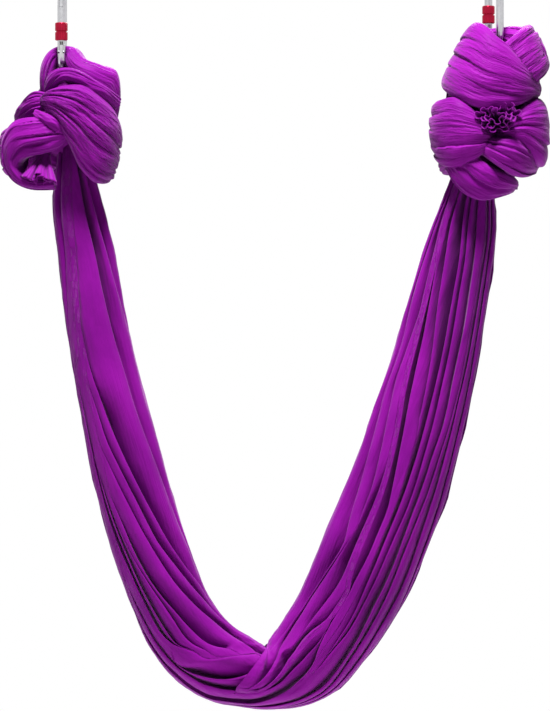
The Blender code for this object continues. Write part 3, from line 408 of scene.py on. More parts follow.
# The cross-sections of the fold at the crossing: layer, tucked in, lifted, mm round its edge
CROSSING_SECTIONS = (
    (0, 0.0, 0, 0.0), (0, 0.3, 0, 0.0), (0, 0.65, 0, 0.0), (0, 1.0, 0, 0.4), (1, 1.0, 1, 2.8),
    (1, 0.5, 1, 2.6), (1, 0.03, 1, 2.2), (1, -0.02, 1, 1.2), (1, -0.02, 1, 0.4), (1, 0.02, 1, 0.0),
)
HEM_ANGLE = -0.55  # where on the back the cloth's free edge lies
HEM_RISE = 1.2  # mm
HEM_DEPTH = 3.0  # mm, of the cloth under it
HEM_LAP = 5  # mm
EDGE_RADIUS = 0.9  # mm, of the cloth turned over at a fold
OVERHANG = 2.2  # mm, at most
RELIEF = 1.8  # of the depths that the fold tables give
VALLEY_SHARE = 0.46  # least depth of a fold, of the width of the cloth before it
DEEPEST = 20  # mm
POCKET_SHARE = 0.92  # how far a fold runs in towards the middle of the bundle
LEAST_SPACING = 0.9  # mm between two fold lines
CROWN = (0.05, 1.3)  # how far the cloth between two lines stands out: of its width, and mm at most
STRAIGHT_BACK = 1.6  # how much more a fold runs straight back than square to the outline
# Slow waves of the surface: height, length along and width across, in mm
SURFACE_WAVES = ((0.9, 150, 70), (0.35, 60, 18))
INSIDE_RINGS = 4  # cross-sections at each end that go up into the knot
INSIDE_STEP = 0.008
INSIDE_WIDTH = 0.97  # of the one before it
INSIDE_DEPTH = 0.95  # the same
FRONT_STEPS = 6
BACK_STEPS = 2


def ripple(along, across, seed, waves=5):
    """Smooth waves of about 1 in height that run mostly with along, the same each time."""
    total = 0
    for i in range(waves):
        turn = 2.399 * (i + 1) + 1.7 * seed
        pace = 1 + 0.37 * i
        total = total + np.sin(math.tau * pace * along + turn) * np.sin(
            math.tau * (0.6 + 0.45 * i) * across + 0.5 * math.tau * pace * along * math.sin(turn) + 2 * turn
        )
    return total / math.sqrt(waves)


def smooth(values, width):
    """Each column averaged along the rows with a bell of this width."""
    reach = int(4 * width)
    bell = np.exp(-0.5 * (np.arange(-reach, reach + 1) / width) ** 2)
    bell /= bell.sum()
    padded = np.pad(values, ((reach, reach), (0, 0)), mode="edge")
    return np.stack([np.convolve(column, bell, "valid") for column in padded.T], axis=1)


def spline(points, count):
    """Rows read evenly from one smooth curve through the given ones, paced by their first point."""
    points = np.array(points, float)
    steps = np.sqrt(np.linalg.norm(np.diff(points[:, 0:3] + points[:, 3:6], axis=0), axis=1))
    knots = np.concatenate([[0], np.cumsum(steps)])
    slopes = np.gradient(points, knots, axis=0)
    at = np.linspace(0, knots[-1], count)
    piece = np.clip(np.searchsorted(knots, at, "right") - 1, 0, len(knots) - 2)
    span = (knots[piece + 1] - knots[piece])[:, None]
    t = (at - knots[piece])[:, None] / span
    return (
        points[piece] * (1 + 2 * t) * (1 - t) ** 2
        + slopes[piece] * span * t * (1 - t) ** 2
        + points[piece + 1] * t * t * (3 - 2 * t)
        + slopes[piece + 1] * span * t * t * (t - 1)
    )


def bundle_lines():
    """Middle, half width and half depth of the hanging bundle at each fine step."""
    shares = np.array(SLING_SHARES) / 100
    flat = np.zeros(len(shares))
    drop = -(SLING_HEAD + shares[:, [1, 3]] * (SLING_DROP - SLING_HEAD)) - BOW_DROP
    outer = np.stack([shares[:, 0] * EYE_SPACING, flat, drop[:, 0]], axis=1)
    inner = np.stack([shares[:, 2] * EYE_SPACING, flat, drop[:, 1]], axis=1)
    depth = shares[:, 4] * SLING_DEPTH / 2
    line = spline(np.concatenate([outer, inner, depth[:, None]], axis=1), STEPS_ALONG + 1)
    return (line[:, 0:3] + line[:, 3:6]) / 2, (line[:, 3:6] - line[:, 0:3]) / 2, line[:, 6]


def front_lines(along, layer):
    """Angle, depth before and depth behind of the front's fold lines at each fine step.

    Layer 0 is the left leg's cloth and layer 1 the right leg's.
    """
    count = len(FRONT_FOLDS)
    place = np.zeros((len(along), count))
    before, behind, free = place.copy(), place.copy(), place.astype(bool)
    for k, rows in enumerate(FRONT_FOLDS):
        rows = np.array([(*row, 0, 0)[:4] for row in rows]) / (1, 100, 1, 1)
        back = np.flatnonzero(np.diff(rows[:, 0]) < 0)
        if len(back):
            rows = rows[back[0] + 1 :] if layer else rows[: back[0] + 1]
        flat = rows[:, 2] + rows[:, 3] == 0
        for row, after in [(rows[i], rows[i + 1]) for i in np.flatnonzero(flat[:-1] & flat[1:])]:
            if after[0] - row[0] > 2 * HELD_ALONG:
                held = [row + (HELD_ALONG, 0, 0, 0), after - (HELD_ALONG, 0, 0, 0)]
                rows = np.insert(rows, np.searchsorted(rows[:, 0], after[0]), held, axis=0)
        at = np.searchsorted(rows[:, 0], along, "right")
        last, after = np.clip(at - 1, 0, None), np.clip(at, None, len(rows) - 1)
        flat = rows[:, 2] + rows[:, 3] == 0
        loose = flat[last] & flat[after]
        steps = round(HELD_ALONG * STEPS_ALONG / 100)
        free[:, k] = np.convolve(~loose, np.ones(2 * steps + 1), "same") < 0.5
        place[:, k], before[:, k], behind[:, k] = (
            np.interp(along, rows[:, 0], rows[:, column]) for column in (1, 2, 3)
        )
    angle = np.arccos(np.clip(place, -0.995, 0.995))
    kept = np.interp(along, *FREE_SHARES)
    for i, loose in enumerate(free):
        held = np.flatnonzero(~loose)
        turns = np.array([0, *np.maximum.accumulate(angle[i, held]), math.pi])
        held = np.array([-1, *held, count])
        even = np.interp(np.arange(count), held, turns)
        last = turns[np.searchsorted(held, np.arange(count), "right") - 1]
        angle[i] = last + kept[i] * (even - last) * (even > last)
        angle[i, held[1:-1]] = turns[1:-1]
    ended = smooth(free.astype(float), LINE_SMOOTHING)
    ended *= np.clip(np.abs(along - CROSSING_AT) / CROSSING_REACH - 1, 0, 1)[:, None]
    angle = smooth(angle, LINE_SMOOTHING) * (1 - ended) + smooth(angle, 3 * LINE_SMOOTHING) * ended
    return angle, smooth(before, LINE_SMOOTHING), smooth(behind, LINE_SMOOTHING)


def back_lines(along):
    """The same for the back, where the cloth hangs in narrow gathers."""
    order = np.arange(BACK_FOLDS)
    room = math.pi + HEM_ANGLE - 0.15
    even = math.pi + room * (order + 0.5 + 0.24 * np.sin(2.1 * order)) / BACK_FOLDS
    turn = math.tau * along[:, None] / 100
    sway = 0.045 * np.sin(turn * (1 + 0.3 * np.sin(order)) + 2.4 * order)
    before = 4.4 + 1.8 * np.sin(turn * 1.6 + 1.9 * order)
    return even + sway, before, np.zeros_like(before)


def sling_points():
    """The cloth of the bundle as rows of points: one row round each cross-section.

    It starts at a hem on the back, goes over the front and comes round under the hem. At every
    fold line the cloth turns in towards the middle, comes out again and laps over its neighbour.
    """
    fine = np.linspace(0, 100, STEPS_ALONG + 1)
    line_middle, line_across, line_depth = bundle_lines()
    back = back_lines(fine)
    layers = [
        [np.concatenate(pair, axis=1) for pair in zip(front_lines(fine, layer), back)] for layer in (0, 1)
    ]

    # The cross-sections: how far along, the layer, and for those of the fold at the crossing
    # how far they are tucked in, lifted and rounded over its edge
    near = CROSSING_AT + CROSSING_REACH * np.array([-CLOSE_REACH, CLOSE_REACH])
    far_count, near_count = LEFT_SECTIONS
    sections = [(s, 0, 0, 0, 0) for s in np.linspace(0, near[0], far_count)[:-1]]
    sections += [(s, 0, 0, 0, 0) for s in np.linspace(near[0], CROSSING_AT, near_count)[:-1]]
    sections += [(CROSSING_AT, layer, *rest) for layer, *rest in CROSSING_SECTIONS]
    far_count, near_count = RIGHT_SECTIONS
    sections += [(s, 1, 0, 1, 0) for s in np.linspace(CROSSING_AT, near[1], near_count)[1:-1]]
    sections += [(s, 1, 0, 1, 0) for s in np.linspace(near[1], 100, far_count)]
    past = np.array([*range(-INSIDE_RINGS, 0), *[0] * len(sections), *range(1, INSIDE_RINGS + 1)])
    sections = [sections[0]] * INSIDE_RINGS + sections + [sections[-1]] * INSIDE_RINGS
    along, layer, tuck, lift, rim = np.array(sections, float).T
    even = SECTION_STEP * np.cumsum((along == CROSSING_AT) & (past == 0))

    def read(values, at):
        """Each column of a table over the fine steps, at these places along."""
        return np.stack([np.interp(at, fine, column) for column in values.T], axis=-1)

    at = along + CROSSING_TUCK * tuck
    angle, before, behind = (
        np.where(layer[:, None] == 0, read(one, at), read(two, at)) for one, two in zip(*layers)
    )
    for values, line in zip((angle, before, behind), layers[0]):
        values[:, STRAND_BELOW:] = read(line[:, STRAND_BELOW:], along + even * (along == CROSSING_AT))
    across, depth = read(line_across, along), np.interp(along, fine, line_depth)
    half = np.linalg.norm(across, axis=1)

    def per_turn(turn):
        """Millimetres of surface to a radian there."""
        return np.hypot(half[:, None] * np.sin(turn), depth[:, None] * np.cos(turn)) / MM

    # no two fold lines meet: they are moved on from the first, then back from the last
    for k in range(1, angle.shape[1]):
        least = angle[:, k - 1] + LEAST_SPACING / per_turn(angle[:, k - 1 : k])[:, 0]
        angle[:, k] = np.maximum(angle[:, k], least)
    first = len(FRONT_FOLDS) - 1
    for k in range(first, -1, -1):
        most = angle[:, k + 1] if k < first else math.pi
        most = most - LEAST_SPACING / per_turn(angle[:, k : k + 1])[:, 0]
        angle[:, k] = np.minimum(angle[:, k], most)

    # for each line, in mm: room on its narrower side, depths, lap over it and edge of the cloth
    start = np.full(len(along), HEM_ANGLE)
    end = math.tau + HEM_ANGLE + HEM_LAP / per_turn(np.full((len(along), 1), HEM_ANGLE))[:, 0]
    reach = per_turn(angle)
    gaps = np.diff(np.column_stack([start, angle, end]), axis=1)
    room = np.minimum(gaps[:, :-1], gaps[:, 1:]) * reach
    least = np.clip(before / 2, 0, 1) * np.minimum(VALLEY_SHARE * gaps[:, :-1] * reach, DEEPEST)
    front = np.arange(angle.shape[1]) <= first
    before = np.where(front, np.clip(before * RELIEF, least, DEEPEST), before)
    behind = np.where(front, behind * RELIEF, behind)
    lap = np.minimum(np.minimum(OVERHANG, 0.3 * before), 0.25 * room)
    fullness = np.clip(np.maximum(before, behind) / 2.5, 0, 1)
    edge = EDGE_RADIUS * fullness

    # columns of points: angle, depth under the outline in mm, share of the way in to the middle
    columns = []

    def add(turn, sunk, inward=0.0):
        columns.append((turn, sunk + 0 * turn, inward + 0 * turn))

    # the strips between the lines, of which the first and the last meet at the hem
    one = np.ones(len(along))
    low, high = np.column_stack([start, angle + 0.5 * edge / reach]), np.column_stack([angle, end])
    begins = np.column_stack([-HEM_RISE * one, behind])
    ends = np.column_stack([before, HEM_DEPTH * one])
    wide = (high - low) * per_turn((high + low) / 2)
    firm = np.column_stack([one, fullness]) * np.column_stack([fullness, one])
    crown = np.minimum(CROWN[0] * wide, CROWN[1]) * firm
    power = np.clip(2.2 - ends / np.maximum(wide, 1), 1.0, 2.2)

    def strip(k, shares):
        """The outside of the cloth between two lines, at these shares of its width."""
        for t in shares:
            sunk = begins[:, k] * (1 - t) ** 2 + ends[:, k] * t ** power[:, k]
            add(low[:, k] + (high - low)[:, k] * t, sunk - crown[:, k] * 4 * t * (1 - t))

    strip(0, np.linspace(0, 1, FRONT_STEPS + 2)[:-1])
    for k in range(angle.shape[1]):
        here, mm, rim, over = angle[:, k], 1 / reach[:, k], edge[:, k], lap[:, k]
        full = fullness[:, k]
        # in towards the middle and out again, then round the edge of the next strip
        add(here, before[:, k])
        add(here + 0.05 * mm, before[:, k], 0.5 * full)
        add(here + (0.1 + 0.1 * full) * mm, before[:, k], full)
        add(here + (0.15 + 0.7 * full) * mm, behind[:, k], full)
        add(here + (0.2 + 0.6 * full) * mm, behind[:, k], 0.45 * full)
        add(here + (0.25 + 0.3 * full) * mm, behind[:, k] + 2.3 * rim)
        add(here + (0.3 - 0.3 * full) * mm - over * mm, behind[:, k] + 1.4 * rim)
        add(here + (0.35 - 0.35 * full) * mm - (over + 0.15 * rim) * mm, behind[:, k] + 0.6 * rim)
        add(here + (0.4 - 0.4 * full) * mm - (over - 0.5 * rim) * mm, behind[:, k])
        shares = np.linspace(0, 1, (FRONT_STEPS if k <= first else BACK_STEPS) + 2)
        strip(k + 1, shares[1 : None if k + 1 == angle.shape[1] else -1])

    turn, sunk, inward = (np.stack([column[i] for column in columns], axis=1) for i in range(3))
    # the cross-sections lean along the edge at the crossing and fold under it
    front = (np.sin(turn) >= 0) & (turn < math.pi)
    place = np.cos(turn)
    strand = angle[:, STRAND_BELOW : STRAND_BELOW + 1]
    cover = np.clip((strand - turn) / STRAND_FADE, 0, 1)
    cover = cover * np.clip((turn + BACK_FADE[0]) / BACK_FADE[1], 0, 1)
    edge_at = np.interp(place, CROSSING_PLACE, CROSSING_ALONG)
    lean = np.clip(1 - np.abs(along[:, None] - CROSSING_AT) / CROSSING_REACH, 0, 1)
    round_back = np.clip((turn + BACK_FADE[0]) / BACK_FADE[0], 0, 1) * (turn < 0)
    lean = lean * lean * (3 - 2 * lean) * np.where(front, 1, round_back)
    at = along[:, None] + lean * (edge_at - CROSSING_AT)
    apart = even[:, None] * (1 - cover) * (along == CROSSING_AT)[:, None]
    at = at + CROSSING_TUCK * tuck[:, None] * cover + apart
    fall = np.clip((CROSSING_FADE[0] - at) / CROSSING_FADE[1], 0, 1)
    raised = CROSSING_RISE * lift[:, None] * cover * fall * fall * (3 - 2 * fall)
    rounded = rim[:, None] * cover

    # slow waves of the surface in mm, then the places in space
    length = at / 100 * HANGING_LENGTH / MM
    sideways = turn * half[:, None] / MM
    relief = 0
    for seed, (high, run, wide) in enumerate(SURFACE_WAVES, 1):
        relief = relief + high * ripple(length / run, sideways / wide, seed)
    sunk = sunk + relief * (inward == 0) - raised + rounded

    middle, across = read(line_middle, at), read(line_across, at)
    depth = np.interp(at, fine, line_depth) * INSIDE_DEPTH ** np.abs(past)[:, None]
    across *= INSIDE_WIDTH ** np.abs(past)[:, None, None]
    middle[..., 2] += np.abs(past)[:, None] * INSIDE_STEP
    half = np.linalg.norm(across, axis=2)
    shape = middle + across * place[..., None]
    shape[..., 1] -= depth * np.sin(turn)
    normal = across * (place / half**2)[..., None]
    normal[..., 1] -= np.sin(turn) / depth
    normal /= np.linalg.norm(normal, axis=2)[..., None]
    normal[..., 1] -= STRAIGHT_BACK * np.tanh(3 * np.sin(turn))
    normal /= np.linalg.norm(normal, axis=2)[..., None]
    shape -= normal * (sunk * MM)[..., None]
    heart = middle + across * (0.5 * place)[..., None]
    weave = np.stack([sideways * MM, length * MM, SLING_CREASED + 0 * turn], axis=2)
    return shape + (heart - shape) * (POCKET_SHARE * inward)[..., None], weave


def set_weave(mesh, weave):
    """Where each corner lies on the flat cloth (across, along) in metres, and how creased it is."""
    layer = mesh.attributes.new("weave", "FLOAT_VECTOR", "POINT")
    layer.data.foreach_set("vector", np.asarray(weave, np.float32).ravel())


def sheet_mesh(name, points, weave):
    """A mesh over rows of points, open at all four sides."""
    rows, columns = points.shape[:2]
    corner = (np.arange(rows - 1)[:, None] * columns + np.arange(columns - 1)).ravel()
    faces = np.stack([corner, corner + 1, corner + columns + 1, corner + columns], axis=1)
    mesh = bpy.data.meshes.new(name)
    mesh.from_pydata(points.reshape(-1, 3).tolist(), [], faces.tolist())
    mesh.shade_smooth()
    set_weave(mesh, weave)
    return mesh


def add_object(name, data):
    """A new object in the scene."""
    made = bpy.data.objects.new(name, data)
    bpy.context.scene.collection.objects.link(made)
    return made


def piece(name, mesh, finish, body, slot):
    """A piece of the object with its material and the body it rides on. The slot argument is not used."""
    made = add_object(name, mesh)
    mesh.materials.clear()
    mesh.materials.append(finish)
    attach(made, body)
    return made


def wrap_skin(stations, pleats, deep, way, seed):
    """Rings of one wrap. Each of its faces has pleats that run along it, drift and fade.

    A pleat lies like a roof tile: it comes out from under its neighbour and rises to its edge.
    """
    line = spline(stations, WRAP_RUN) / 100 * KNOT_SIZE
    a, b, thick = line[:, 0:3], line[:, 3:6], line[:, 6:7]
    centre, across = (a + b) / 2, (a - b) / 2
    normal = np.cross(np.gradient(centre, axis=0), across)
    normal /= np.linalg.norm(normal, axis=1)[:, None]
    turn = np.linspace(0, math.tau, WRAP_ROUND, endpoint=False)
    wide, high = np.cos(turn), np.sin(turn)
    along = np.linspace(0, 1, WRAP_RUN)
    phase = math.tau * along[:, None]
    sunk = np.zeros((WRAP_RUN, WRAP_ROUND))
    for face in (0, 1):
        order = np.arange(pleats + 2)
        odd = 2.4 * order + 1.3 * seed + 0.8 * face
        even = -1 + 2 * (order - 0.5 + PLEAT_UNEVENNESS * np.sin(odd)) / pleats
        pace = 0.7 + 0.3 * np.sin(odd)
        drift = PLEAT_DRIFT / pleats * np.sin(phase * pace + 2 * odd)
        places = np.sort(even + drift, axis=1)
        depths = deep * (0.5 + 0.75 * np.sin(phase * (0.8 + 0.4 * np.cos(odd)) + odd))
        here = np.flatnonzero(high >= 0 if face == 0 else high < 0)
        for i in range(WRAP_RUN):
            spot = way * wide[here]
            band = np.clip(np.searchsorted(places[i], spot) - 1, 0, pleats)
            low, top = places[i, band], places[i, band + 1]
            t = np.clip((spot - low) / (top - low), 0, 1)
            sunk[i, here] = np.clip(depths[i, band], 0.08 * deep, None) * (1 - t) ** 1.6
            sunk[i, here] += 0.12 * deep * np.clip((t - 0.85) / 0.15, 0, 1) ** 2
    sunk = smooth(sunk, 1.2) * np.clip(np.abs(high) * 2.5, 0, 1)
    lumps = ripple(along[:, None] * 1.3 + 0 * wide, wide * 0.6 + 0 * along[:, None], seed)
    sunk -= 0.7 * lumps * np.clip(np.abs(high) * 2, 0, 1)
    body = np.sign(high) * np.abs(high) ** FLATNESS
    lift = thick * body - np.sign(high) * np.minimum(sunk * MM, 0.6 * thick)
    skin = centre[:, None] + across[:, None] * wide[:, None] + normal[:, None] * lift[..., None]
    run = np.concatenate([[0], np.cumsum(np.linalg.norm(np.diff(centre, axis=0), axis=1))])
    half = np.linalg.norm(across, axis=1).mean()
    sideways = half * wide + 0 * run[:, None] + 0.5 * seed
    creased = PLEAT_CREASED * pleats + 0 * sideways
    return skin, np.stack([sideways, run[:, None] + 0 * wide, creased], axis=2)


def lump_skin(shares):
    """Rings of the rounded heart of a knot: its centre, then half its size on each axis."""
    centre, half = (np.array(shares[i : i + 3]) / 100 * KNOT_SIZE for i in (0, 3))
    tilt = np.linspace(0, math.pi, 42)[1:-1, None, None]
    turn = np.linspace(0, math.tau, 60, endpoint=False)[None, :, None]
    parts = (np.cos(turn) * np.sin(tilt), np.sin(turn) * np.sin(tilt), -np.cos(tilt + 0 * turn))
    return centre + np.concatenate(parts, axis=2) * half


def closed_mesh(name, skins):
    """A mesh of tubes with flat ends, from the rings of each."""
    corners, faces = [], []
    for rings in skins:
        rings = np.array(rings)
        rows, columns = rings.shape[:2]
        first = len(corners)
        corners += rings.reshape(-1, 3).tolist()
        here = first + np.arange(rows * columns).reshape(rows, columns)
        after = np.roll(here, -1, axis=1)
        sides = np.stack([here[:-1], after[:-1], after[1:], here[1:]], axis=2)
        faces += sides.reshape(-1, 4).tolist() + [here[0].tolist(), here[-1].tolist()]
    mesh = bpy.data.meshes.new(name)
    mesh.from_pydata(corners, [], faces)
    shape = bmesh.new()
    shape.from_mesh(mesh)
    bmesh.ops.recalc_face_normals(shape, faces=shape.faces)
    shape.to_mesh(mesh)
    shape.free()
    return mesh


def helper(name, mesh, place):
    """An object that only helps to shape the cloth."""
    made = add_object(name, mesh)
    made.matrix_world = place
    return made


def bar_room(side):
    """The carabiner's bar a little thicker, to keep the cloth off it."""
    node = NODES[side + "_frame"]
    shape = bmesh.new()
    shape.from_mesh(node.data)
    bmesh.ops.remove_doubles(shape, verts=shape.verts, dist=0.00001)
    bmesh.ops.recalc_face_normals(shape, faces=shape.faces)
    shape.normal_update()
    for corner in shape.verts:
        corner.co += corner.normal * BAR_ROOM
    mesh = bpy.data.meshes.new(side + "_bar_room")
    shape.to_mesh(mesh)
    shape.free()
    return helper(mesh.name, mesh, node.matrix_world.copy())


def gate_room(side, base):
    """All that the gate and its sleeve sweep as they open, as one prism across the carabiner."""
    wide = SLEEVE_DIAMETER / 2 + SLEEVE_ROOM
    reach = CARABINER_LENGTH - HINGE_HEIGHT
    lean = math.radians(GATE_TRAVEL_DEGREES)
    low = HINGE_HEIGHT - HINGE_ROOM
    dip = wide * math.sin(lean) / 2
    inside = GATE_Y + wide * math.cos(lean)
    outline = (
        (GATE_Y - wide, low),
        (GATE_Y + HINGE_ROOM, low),
        (inside + dip, HINGE_HEIGHT - dip),
        (inside + reach * math.sin(lean), HINGE_HEIGHT + reach * math.cos(lean)),
        (GATE_Y - wide, CARABINER_LENGTH),
    )
    rings = [[(x, y, z) for y, z in outline] for x in (-wide, wide)]
    return helper(side + "_gate_room", closed_mesh(side + "_gate_room", [rings]), base)


def evaluated(shown):
    """The object's mesh with its modifiers applied."""
    bpy.context.view_layer.update()
    return bpy.data.meshes.new_from_object(shown.evaluated_get(bpy.context.evaluated_depsgraph_get()))


def keep_largest(mesh):
    """Drops the scraps that the cuts leave beside the main lump."""
    shape = bmesh.new()
    shape.from_mesh(mesh)
    left, groups = set(shape.verts), []
    while left:
        group = [left.pop()]
        for corner in group:
            near = {line.other_vert(corner) for line in corner.link_edges} & left
            left -= near
            group += near
        groups.append(group)
    groups.sort(key=len)
    for group in groups[:-1]:
        bmesh.ops.delete(shape, geom=group, context="VERTS")
    shape.to_mesh(mesh)
    shape.free()


def make_knot(side, base, wraps, cores):
    """The wraps of a knot merged into one lump of cloth, clear of the carabiner's swing."""
    skins, weaves = zip(*(wrap_skin(*wrap, seed) for seed, wrap in enumerate(wraps)))
    skins = list(skins)
    places, weaves = (np.concatenate([rows.reshape(-1, 3) for rows in part]) for part in (skins, weaves))
    near = KDTree(len(places))
    for number, place in enumerate(places):
        near.insert(place, number)
    near.balance()
    skins += [lump_skin(shares) for shares in cores]
    lump = helper(side + "_lump", closed_mesh(side + "_lump", skins), Matrix.Translation(base.translation))
    merge = lump.modifiers.new("merge", "REMESH")
    merge.mode = "VOXEL"
    merge.voxel_size = KNOT_GRAIN
    rooms = (bar_room(side), gate_room(side, base))
    for room in rooms:
        cut = lump.modifiers.new("cut", "BOOLEAN")
        cut.operation = "DIFFERENCE"
        cut.solver = "MANIFOLD"
        cut.object = room
    mesh = evaluated(lump)
    keep_largest(mesh)
    lump.modifiers.clear()
    lump.data = mesh
    thin = lump.modifiers.new("thin", "DECIMATE")
    thin.ratio = min(1, KNOT_TRIANGLES / sum(len(face.vertices) - 2 for face in mesh.polygons))
    mesh = evaluated(lump)
    set_weave(mesh, [weaves[near.find(corner.co)[1]] for corner in mesh.vertices])
    mesh.transform(lump.matrix_world)
    for spent in (lump, *rooms):
        bpy.data.objects.remove(spent)
    mesh.name = side + "_knot_cloth"
    mesh.shade_smooth()
    knot = piece(mesh.name, mesh, CLOTH, BODY, "silk")
    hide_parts(side + "_knot")


def make_frill(side, base, foot, way, shape):
    """The free end of the cloth: a strip rolled up at its root, whose rim opens into ruffles."""
    turns, wide, high, length, wave, swing = shape
    foot = np.array(base.translation) + np.array(foot) / 100 * KNOT_SIZE
    way = np.array(way, float) / np.linalg.norm(way)
    side_way = np.cross(way, (0.0, 0.0, 1.0) if abs(way[2]) < 0.75 else (0.0, -1.0, 0.0))
    side_way /= np.linalg.norm(side_way)
    up = np.cross(side_way, way)
    count = round(turns * FRILL_POINTS)
    share = np.linspace(0, 1, count)
    turn = math.tau * turns * share + 0.6
    size = 0.18 + 0.82 * share**0.8 if turns > 2 else 0.8 + 0.2 * share
    steps = np.hypot(np.diff(size * np.cos(turn) * wide), np.diff(size * np.sin(turn) * high))
    arc = np.concatenate([[0], np.cumsum(steps)])
    phase = math.tau * arc / wave + 0.9 * np.sin(arc / (1.7 * wave))
    phase += 0.5 * np.sin(math.tau * arc / (3.3 * wave))
    rows, weaves = [], []
    for t in np.linspace(0, 1, FRILL_ROWS):
        spread = 0.3 + 0.7 * t**1.3
        fold = swing * t**1.2 * (1 + 0.35 * np.sin(0.61 * phase + 1.0))
        out = size * spread
        push = fold * np.sin(phase)
        slip = 0.42 * fold * np.sin(2 * phase)
        x = (out * wide + push) * np.cos(turn) + slip * np.sin(turn)
        y = (out * high + push) * np.sin(turn) - slip * np.cos(turn)
        lift = length * (t - 0.1 * t * t * np.cos(phase * 0.5 + 2))
        lift += 0.3 * length * t * (1 - size) * (1 - 0.5 * np.sin(3 * turn))
        rows.append(foot + (side_way * x[:, None] + up * y[:, None] + way * lift[:, None]) * MM)
        down = length * t + 0 * arc
        weaves.append(np.stack([arc * MM, down * MM, FRILL_CREASED + 0 * arc], axis=1))
    mesh = sheet_mesh(side + "_tail_cloth", np.stack(rows), np.stack(weaves))
    made = piece(mesh.name, mesh, CLOTH, BODY, "silk")
    thick = made.modifiers.new("thickness", "SOLIDIFY")
    thick.thickness = FRILL_THICKNESS
    thick.offset = 0
    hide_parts(side + "_tail")


def node_tree(name):
    """A new material, its nodes and its shader."""
    made = bpy.data.materials.new(name)
    made.use_nodes = True
    tree = made.node_tree
    return made, tree, tree.nodes["Principled BSDF"]


def add_node(tree, kind, **values):
    """A node with these properties and inputs. A socket given for an input is linked to it."""
    made = tree.nodes.new("ShaderNode" + kind)
    for name, value in values.items():
        entry = name.replace("_", " ")
        if isinstance(value, bpy.types.NodeSocket):
            tree.links.new(value, made.inputs[entry])
        elif hasattr(made, name):
            setattr(made, name, value)
        else:
            made.inputs[entry].default_value = value
    return made


def vary(tree, shader, noise, levels, colours, rough):
    """Colour and roughness that go with the noise, the colour between these levels of it."""
    ramp = add_node(tree, "ValToRGB", Fac=noise)
    for element, level, colour in zip(ramp.color_ramp.elements, levels, colours):
        element.position, element.color = level, colour
    tree.links.new(ramp.outputs["Color"], shader.inputs["Base Color"])
    gloss = add_node(tree, "MapRange", Value=noise, To_Min=rough[0], To_Max=rough[1])
    tree.links.new(gloss.outputs["Result"], shader.inputs["Roughness"])


def cloth_material():
    """Satin nylon tricot: soft sheen, a fine ribbed knit and small creases along its folds."""
    made, tree, shader = node_tree("silk")
    where = add_node(tree, "TexCoord").outputs["Object"]
    tone = add_node(tree, "TexNoise", Vector=where, Scale=9.0, Detail=5.0, Roughness=0.6)
    vary(tree, shader, tone.outputs["Fac"], (0.3, 0.7), (CLOTH_DARK, CLOTH_LIGHT), (0.4, 0.55))
    for name, value in CLOTH_LOOKS.items():
        shader.inputs[name].default_value = value

    # creases that run along the cloth, as deep as its weave says
    weave = add_node(tree, "Attribute", attribute_name="weave").outputs["Vector"]
    creased = add_node(tree, "SeparateXYZ", Vector=weave).outputs["Z"]
    normal = None
    for across, along, depth in CREASES:
        stretch = add_node(tree, "Mapping", Vector=weave, Scale=(across, along, 0))
        crease = add_node(tree, "TexNoise", Scale=1.0, Detail=3.0, Roughness=0.5, Distortion=0.4)
        tree.links.new(stretch.outputs["Vector"], crease.inputs["Vector"])
        height = add_node(tree, "Math", operation="MULTIPLY", Value=crease.outputs["Fac"])
        tree.links.new(creased, height.inputs[1])
        bump = add_node(tree, "Bump", Height=height.outputs["Value"], Strength=1.0, Distance=depth)
        if normal:
            tree.links.new(normal, bump.inputs["Normal"])
        normal = bump.outputs["Normal"]
    knit = add_node(tree, "TexNoise", Vector=where, Scale=900.0, Detail=2.0)
    knitted = add_node(tree, "Bump", Height=knit.outputs["Fac"], Strength=0.12, Distance=0.0002)
    tree.links.new(normal, knitted.inputs["Normal"])
    tree.links.new(knitted.outputs["Normal"], shader.inputs["Normal"])
    return made


def metal_material(name, colour, rough, grain, strength):
    """Metal with fine scratches and a slightly uneven gloss."""
    made, tree, shader = node_tree(name)
    where = add_node(tree, "TexCoord").outputs["Object"]
    wear = add_node(tree, "TexNoise", Vector=where, Scale=grain / 6, Detail=4.0, Roughness=0.6)
    worn = (*(0.86 * c for c in colour), 1)
    vary(tree, shader, wear.outputs["Fac"], (0.35, 0.65), (worn, (*colour, 1)), (rough * 0.8, rough * 1.25))
    shader.inputs["Metallic"].default_value = 1.0
    stretch = add_node(tree, "Mapping", Vector=where, Scale=(1, 1, 0.08))
    scratch = add_node(tree, "TexNoise", Vector=stretch.outputs["Vector"], Scale=grain, Detail=3.0)
    bump = add_node(tree, "Bump", Height=scratch.outputs["Fac"], Strength=strength, Distance=0.0001)
    tree.links.new(bump.outputs["Normal"], shader.inputs["Normal"])
    return made


def white_world():
    """White to the eye, and a softer white that lights the object."""
    world = bpy.data.worlds.new("studio")
    world.use_nodes = True
    tree = world.node_tree
    ray = add_node(tree, "LightPath")
    seen = ray.outputs["Is Camera Ray"]
    for kind in ("Is Transmission Ray", "Is Glossy Ray"):
        either = add_node(tree, "Math", operation="MAXIMUM", Value=seen)
        tree.links.new(ray.outputs[kind], either.inputs[1])
        seen = either.outputs[0]
    level = add_node(tree, "MapRange", Value=seen, To_Min=AMBIENT, To_Max=1.0)
    tree.links.new(level.outputs["Result"], tree.nodes["Background"].inputs["Strength"])
    tree.nodes["Background"].inputs["Color"].default_value = (1, 1, 1, 1)
    bpy.context.scene.world = world


def area_light(name, place, target, size, power):
    """A square lamp that points at the target."""
    lamp = bpy.data.lights.new(name, "AREA")
    lamp.size = size
    lamp.energy = power
    made = add_object(name, lamp)
    made.location = place
    made.rotation_euler = (Vector(target) - Vector(place)).to_track_quat("-Z", "Y").to_euler()


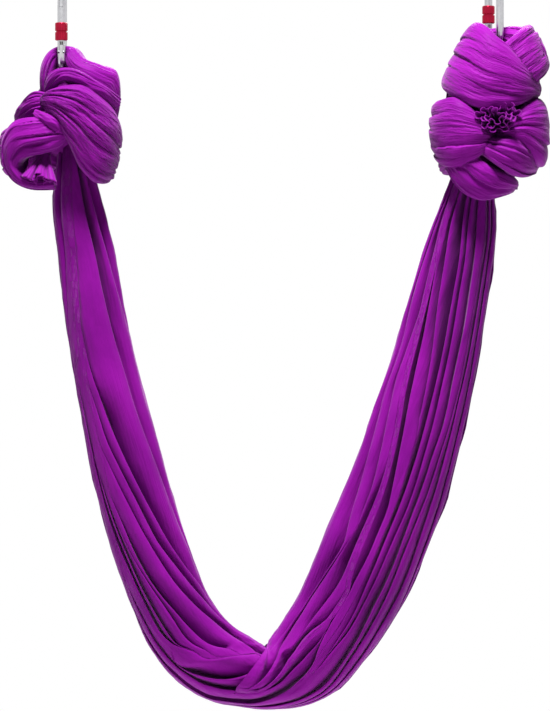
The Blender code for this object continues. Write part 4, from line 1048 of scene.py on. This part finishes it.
def make_camera():
    """A level view from the photograph's distance, framed as the photograph is."""
    lens = bpy.data.cameras.new("camera")
    lens.sensor_width = SENSOR
    lens.lens = SENSOR * VIEWING_DISTANCE / (PHOTO_HEIGHT * PIXEL)
    made = add_object("camera", lens)
    made.location = Vector(PHOTO_MIDDLE) - Vector((0, VIEWING_DISTANCE, 0))
    made.rotation_euler = (math.pi / 2, 0, 0)
    bpy.context.scene.camera = made


def make_floor(height, radius):
    """A round pale floor that shows the object's shadow."""
    mesh = bpy.data.meshes.new("floor")
    shape = bmesh.new()
    bmesh.ops.create_circle(shape, cap_ends=True, segments=96, radius=radius)
    shape.to_mesh(mesh)
    shape.free()
    finish, _, shader = node_tree("floor")
    shader.inputs["Base Color"].default_value = FLOOR_COLOUR
    shader.inputs["Roughness"].default_value = 0.9
    mesh.materials.append(finish)
    made = add_object("floor", mesh)
    made.location = (PHOTO_MIDDLE[0], 0, height)


bpy.context.scene.view_settings.view_transform = "Standard"
white_world()
make_floor(CAD_BOX[0][2] - FLOOR_GAP, FLOOR_RADIUS)
make_camera()
for lamp in LAMPS:
    area_light(*lamp)

CLOTH = cloth_material()
ALLOY, STEEL, RED = (metal_material(name, *looks) for name, looks in METALS.items())
for name, node in NODES.items():
    if node.type != "MESH":
        continue
    finish = RED if "sleeve" in name else ALLOY if name.endswith(("frame", "gate")) else STEEL
    if name.endswith(("knot", "tail")) or name == "sling":
        finish = CLOTH
    node.data.materials.clear()
    node.data.materials.append(finish)

# each gate's spring gets a mesh of its own
for side in ("left", "right"):
    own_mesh(NODES[side + "_gate_spring"])

LEFT_BASE = Matrix.Translation((0, 0, -BOW_DROP))
RIGHT_BASE = Matrix.Translation((EYE_SPACING, 0, EYE_RISE - BOW_DROP)) @ Matrix.Rotation(
    math.radians(RIGHT_TURN_DEGREES), 4, "Z"
)
make_knot("left", LEFT_BASE, LEFT_WRAPS, LEFT_CORES_SHARES)
make_knot("right", RIGHT_BASE, RIGHT_WRAPS, RIGHT_CORES_SHARES)
make_frill("left", LEFT_BASE, *LEFT_FRILL)
make_frill("right", RIGHT_BASE, *RIGHT_FRILL)

sling = piece("sling_cloth", sheet_mesh("sling_cloth", *sling_points()), CLOTH, BODY, "silk")
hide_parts("sling")
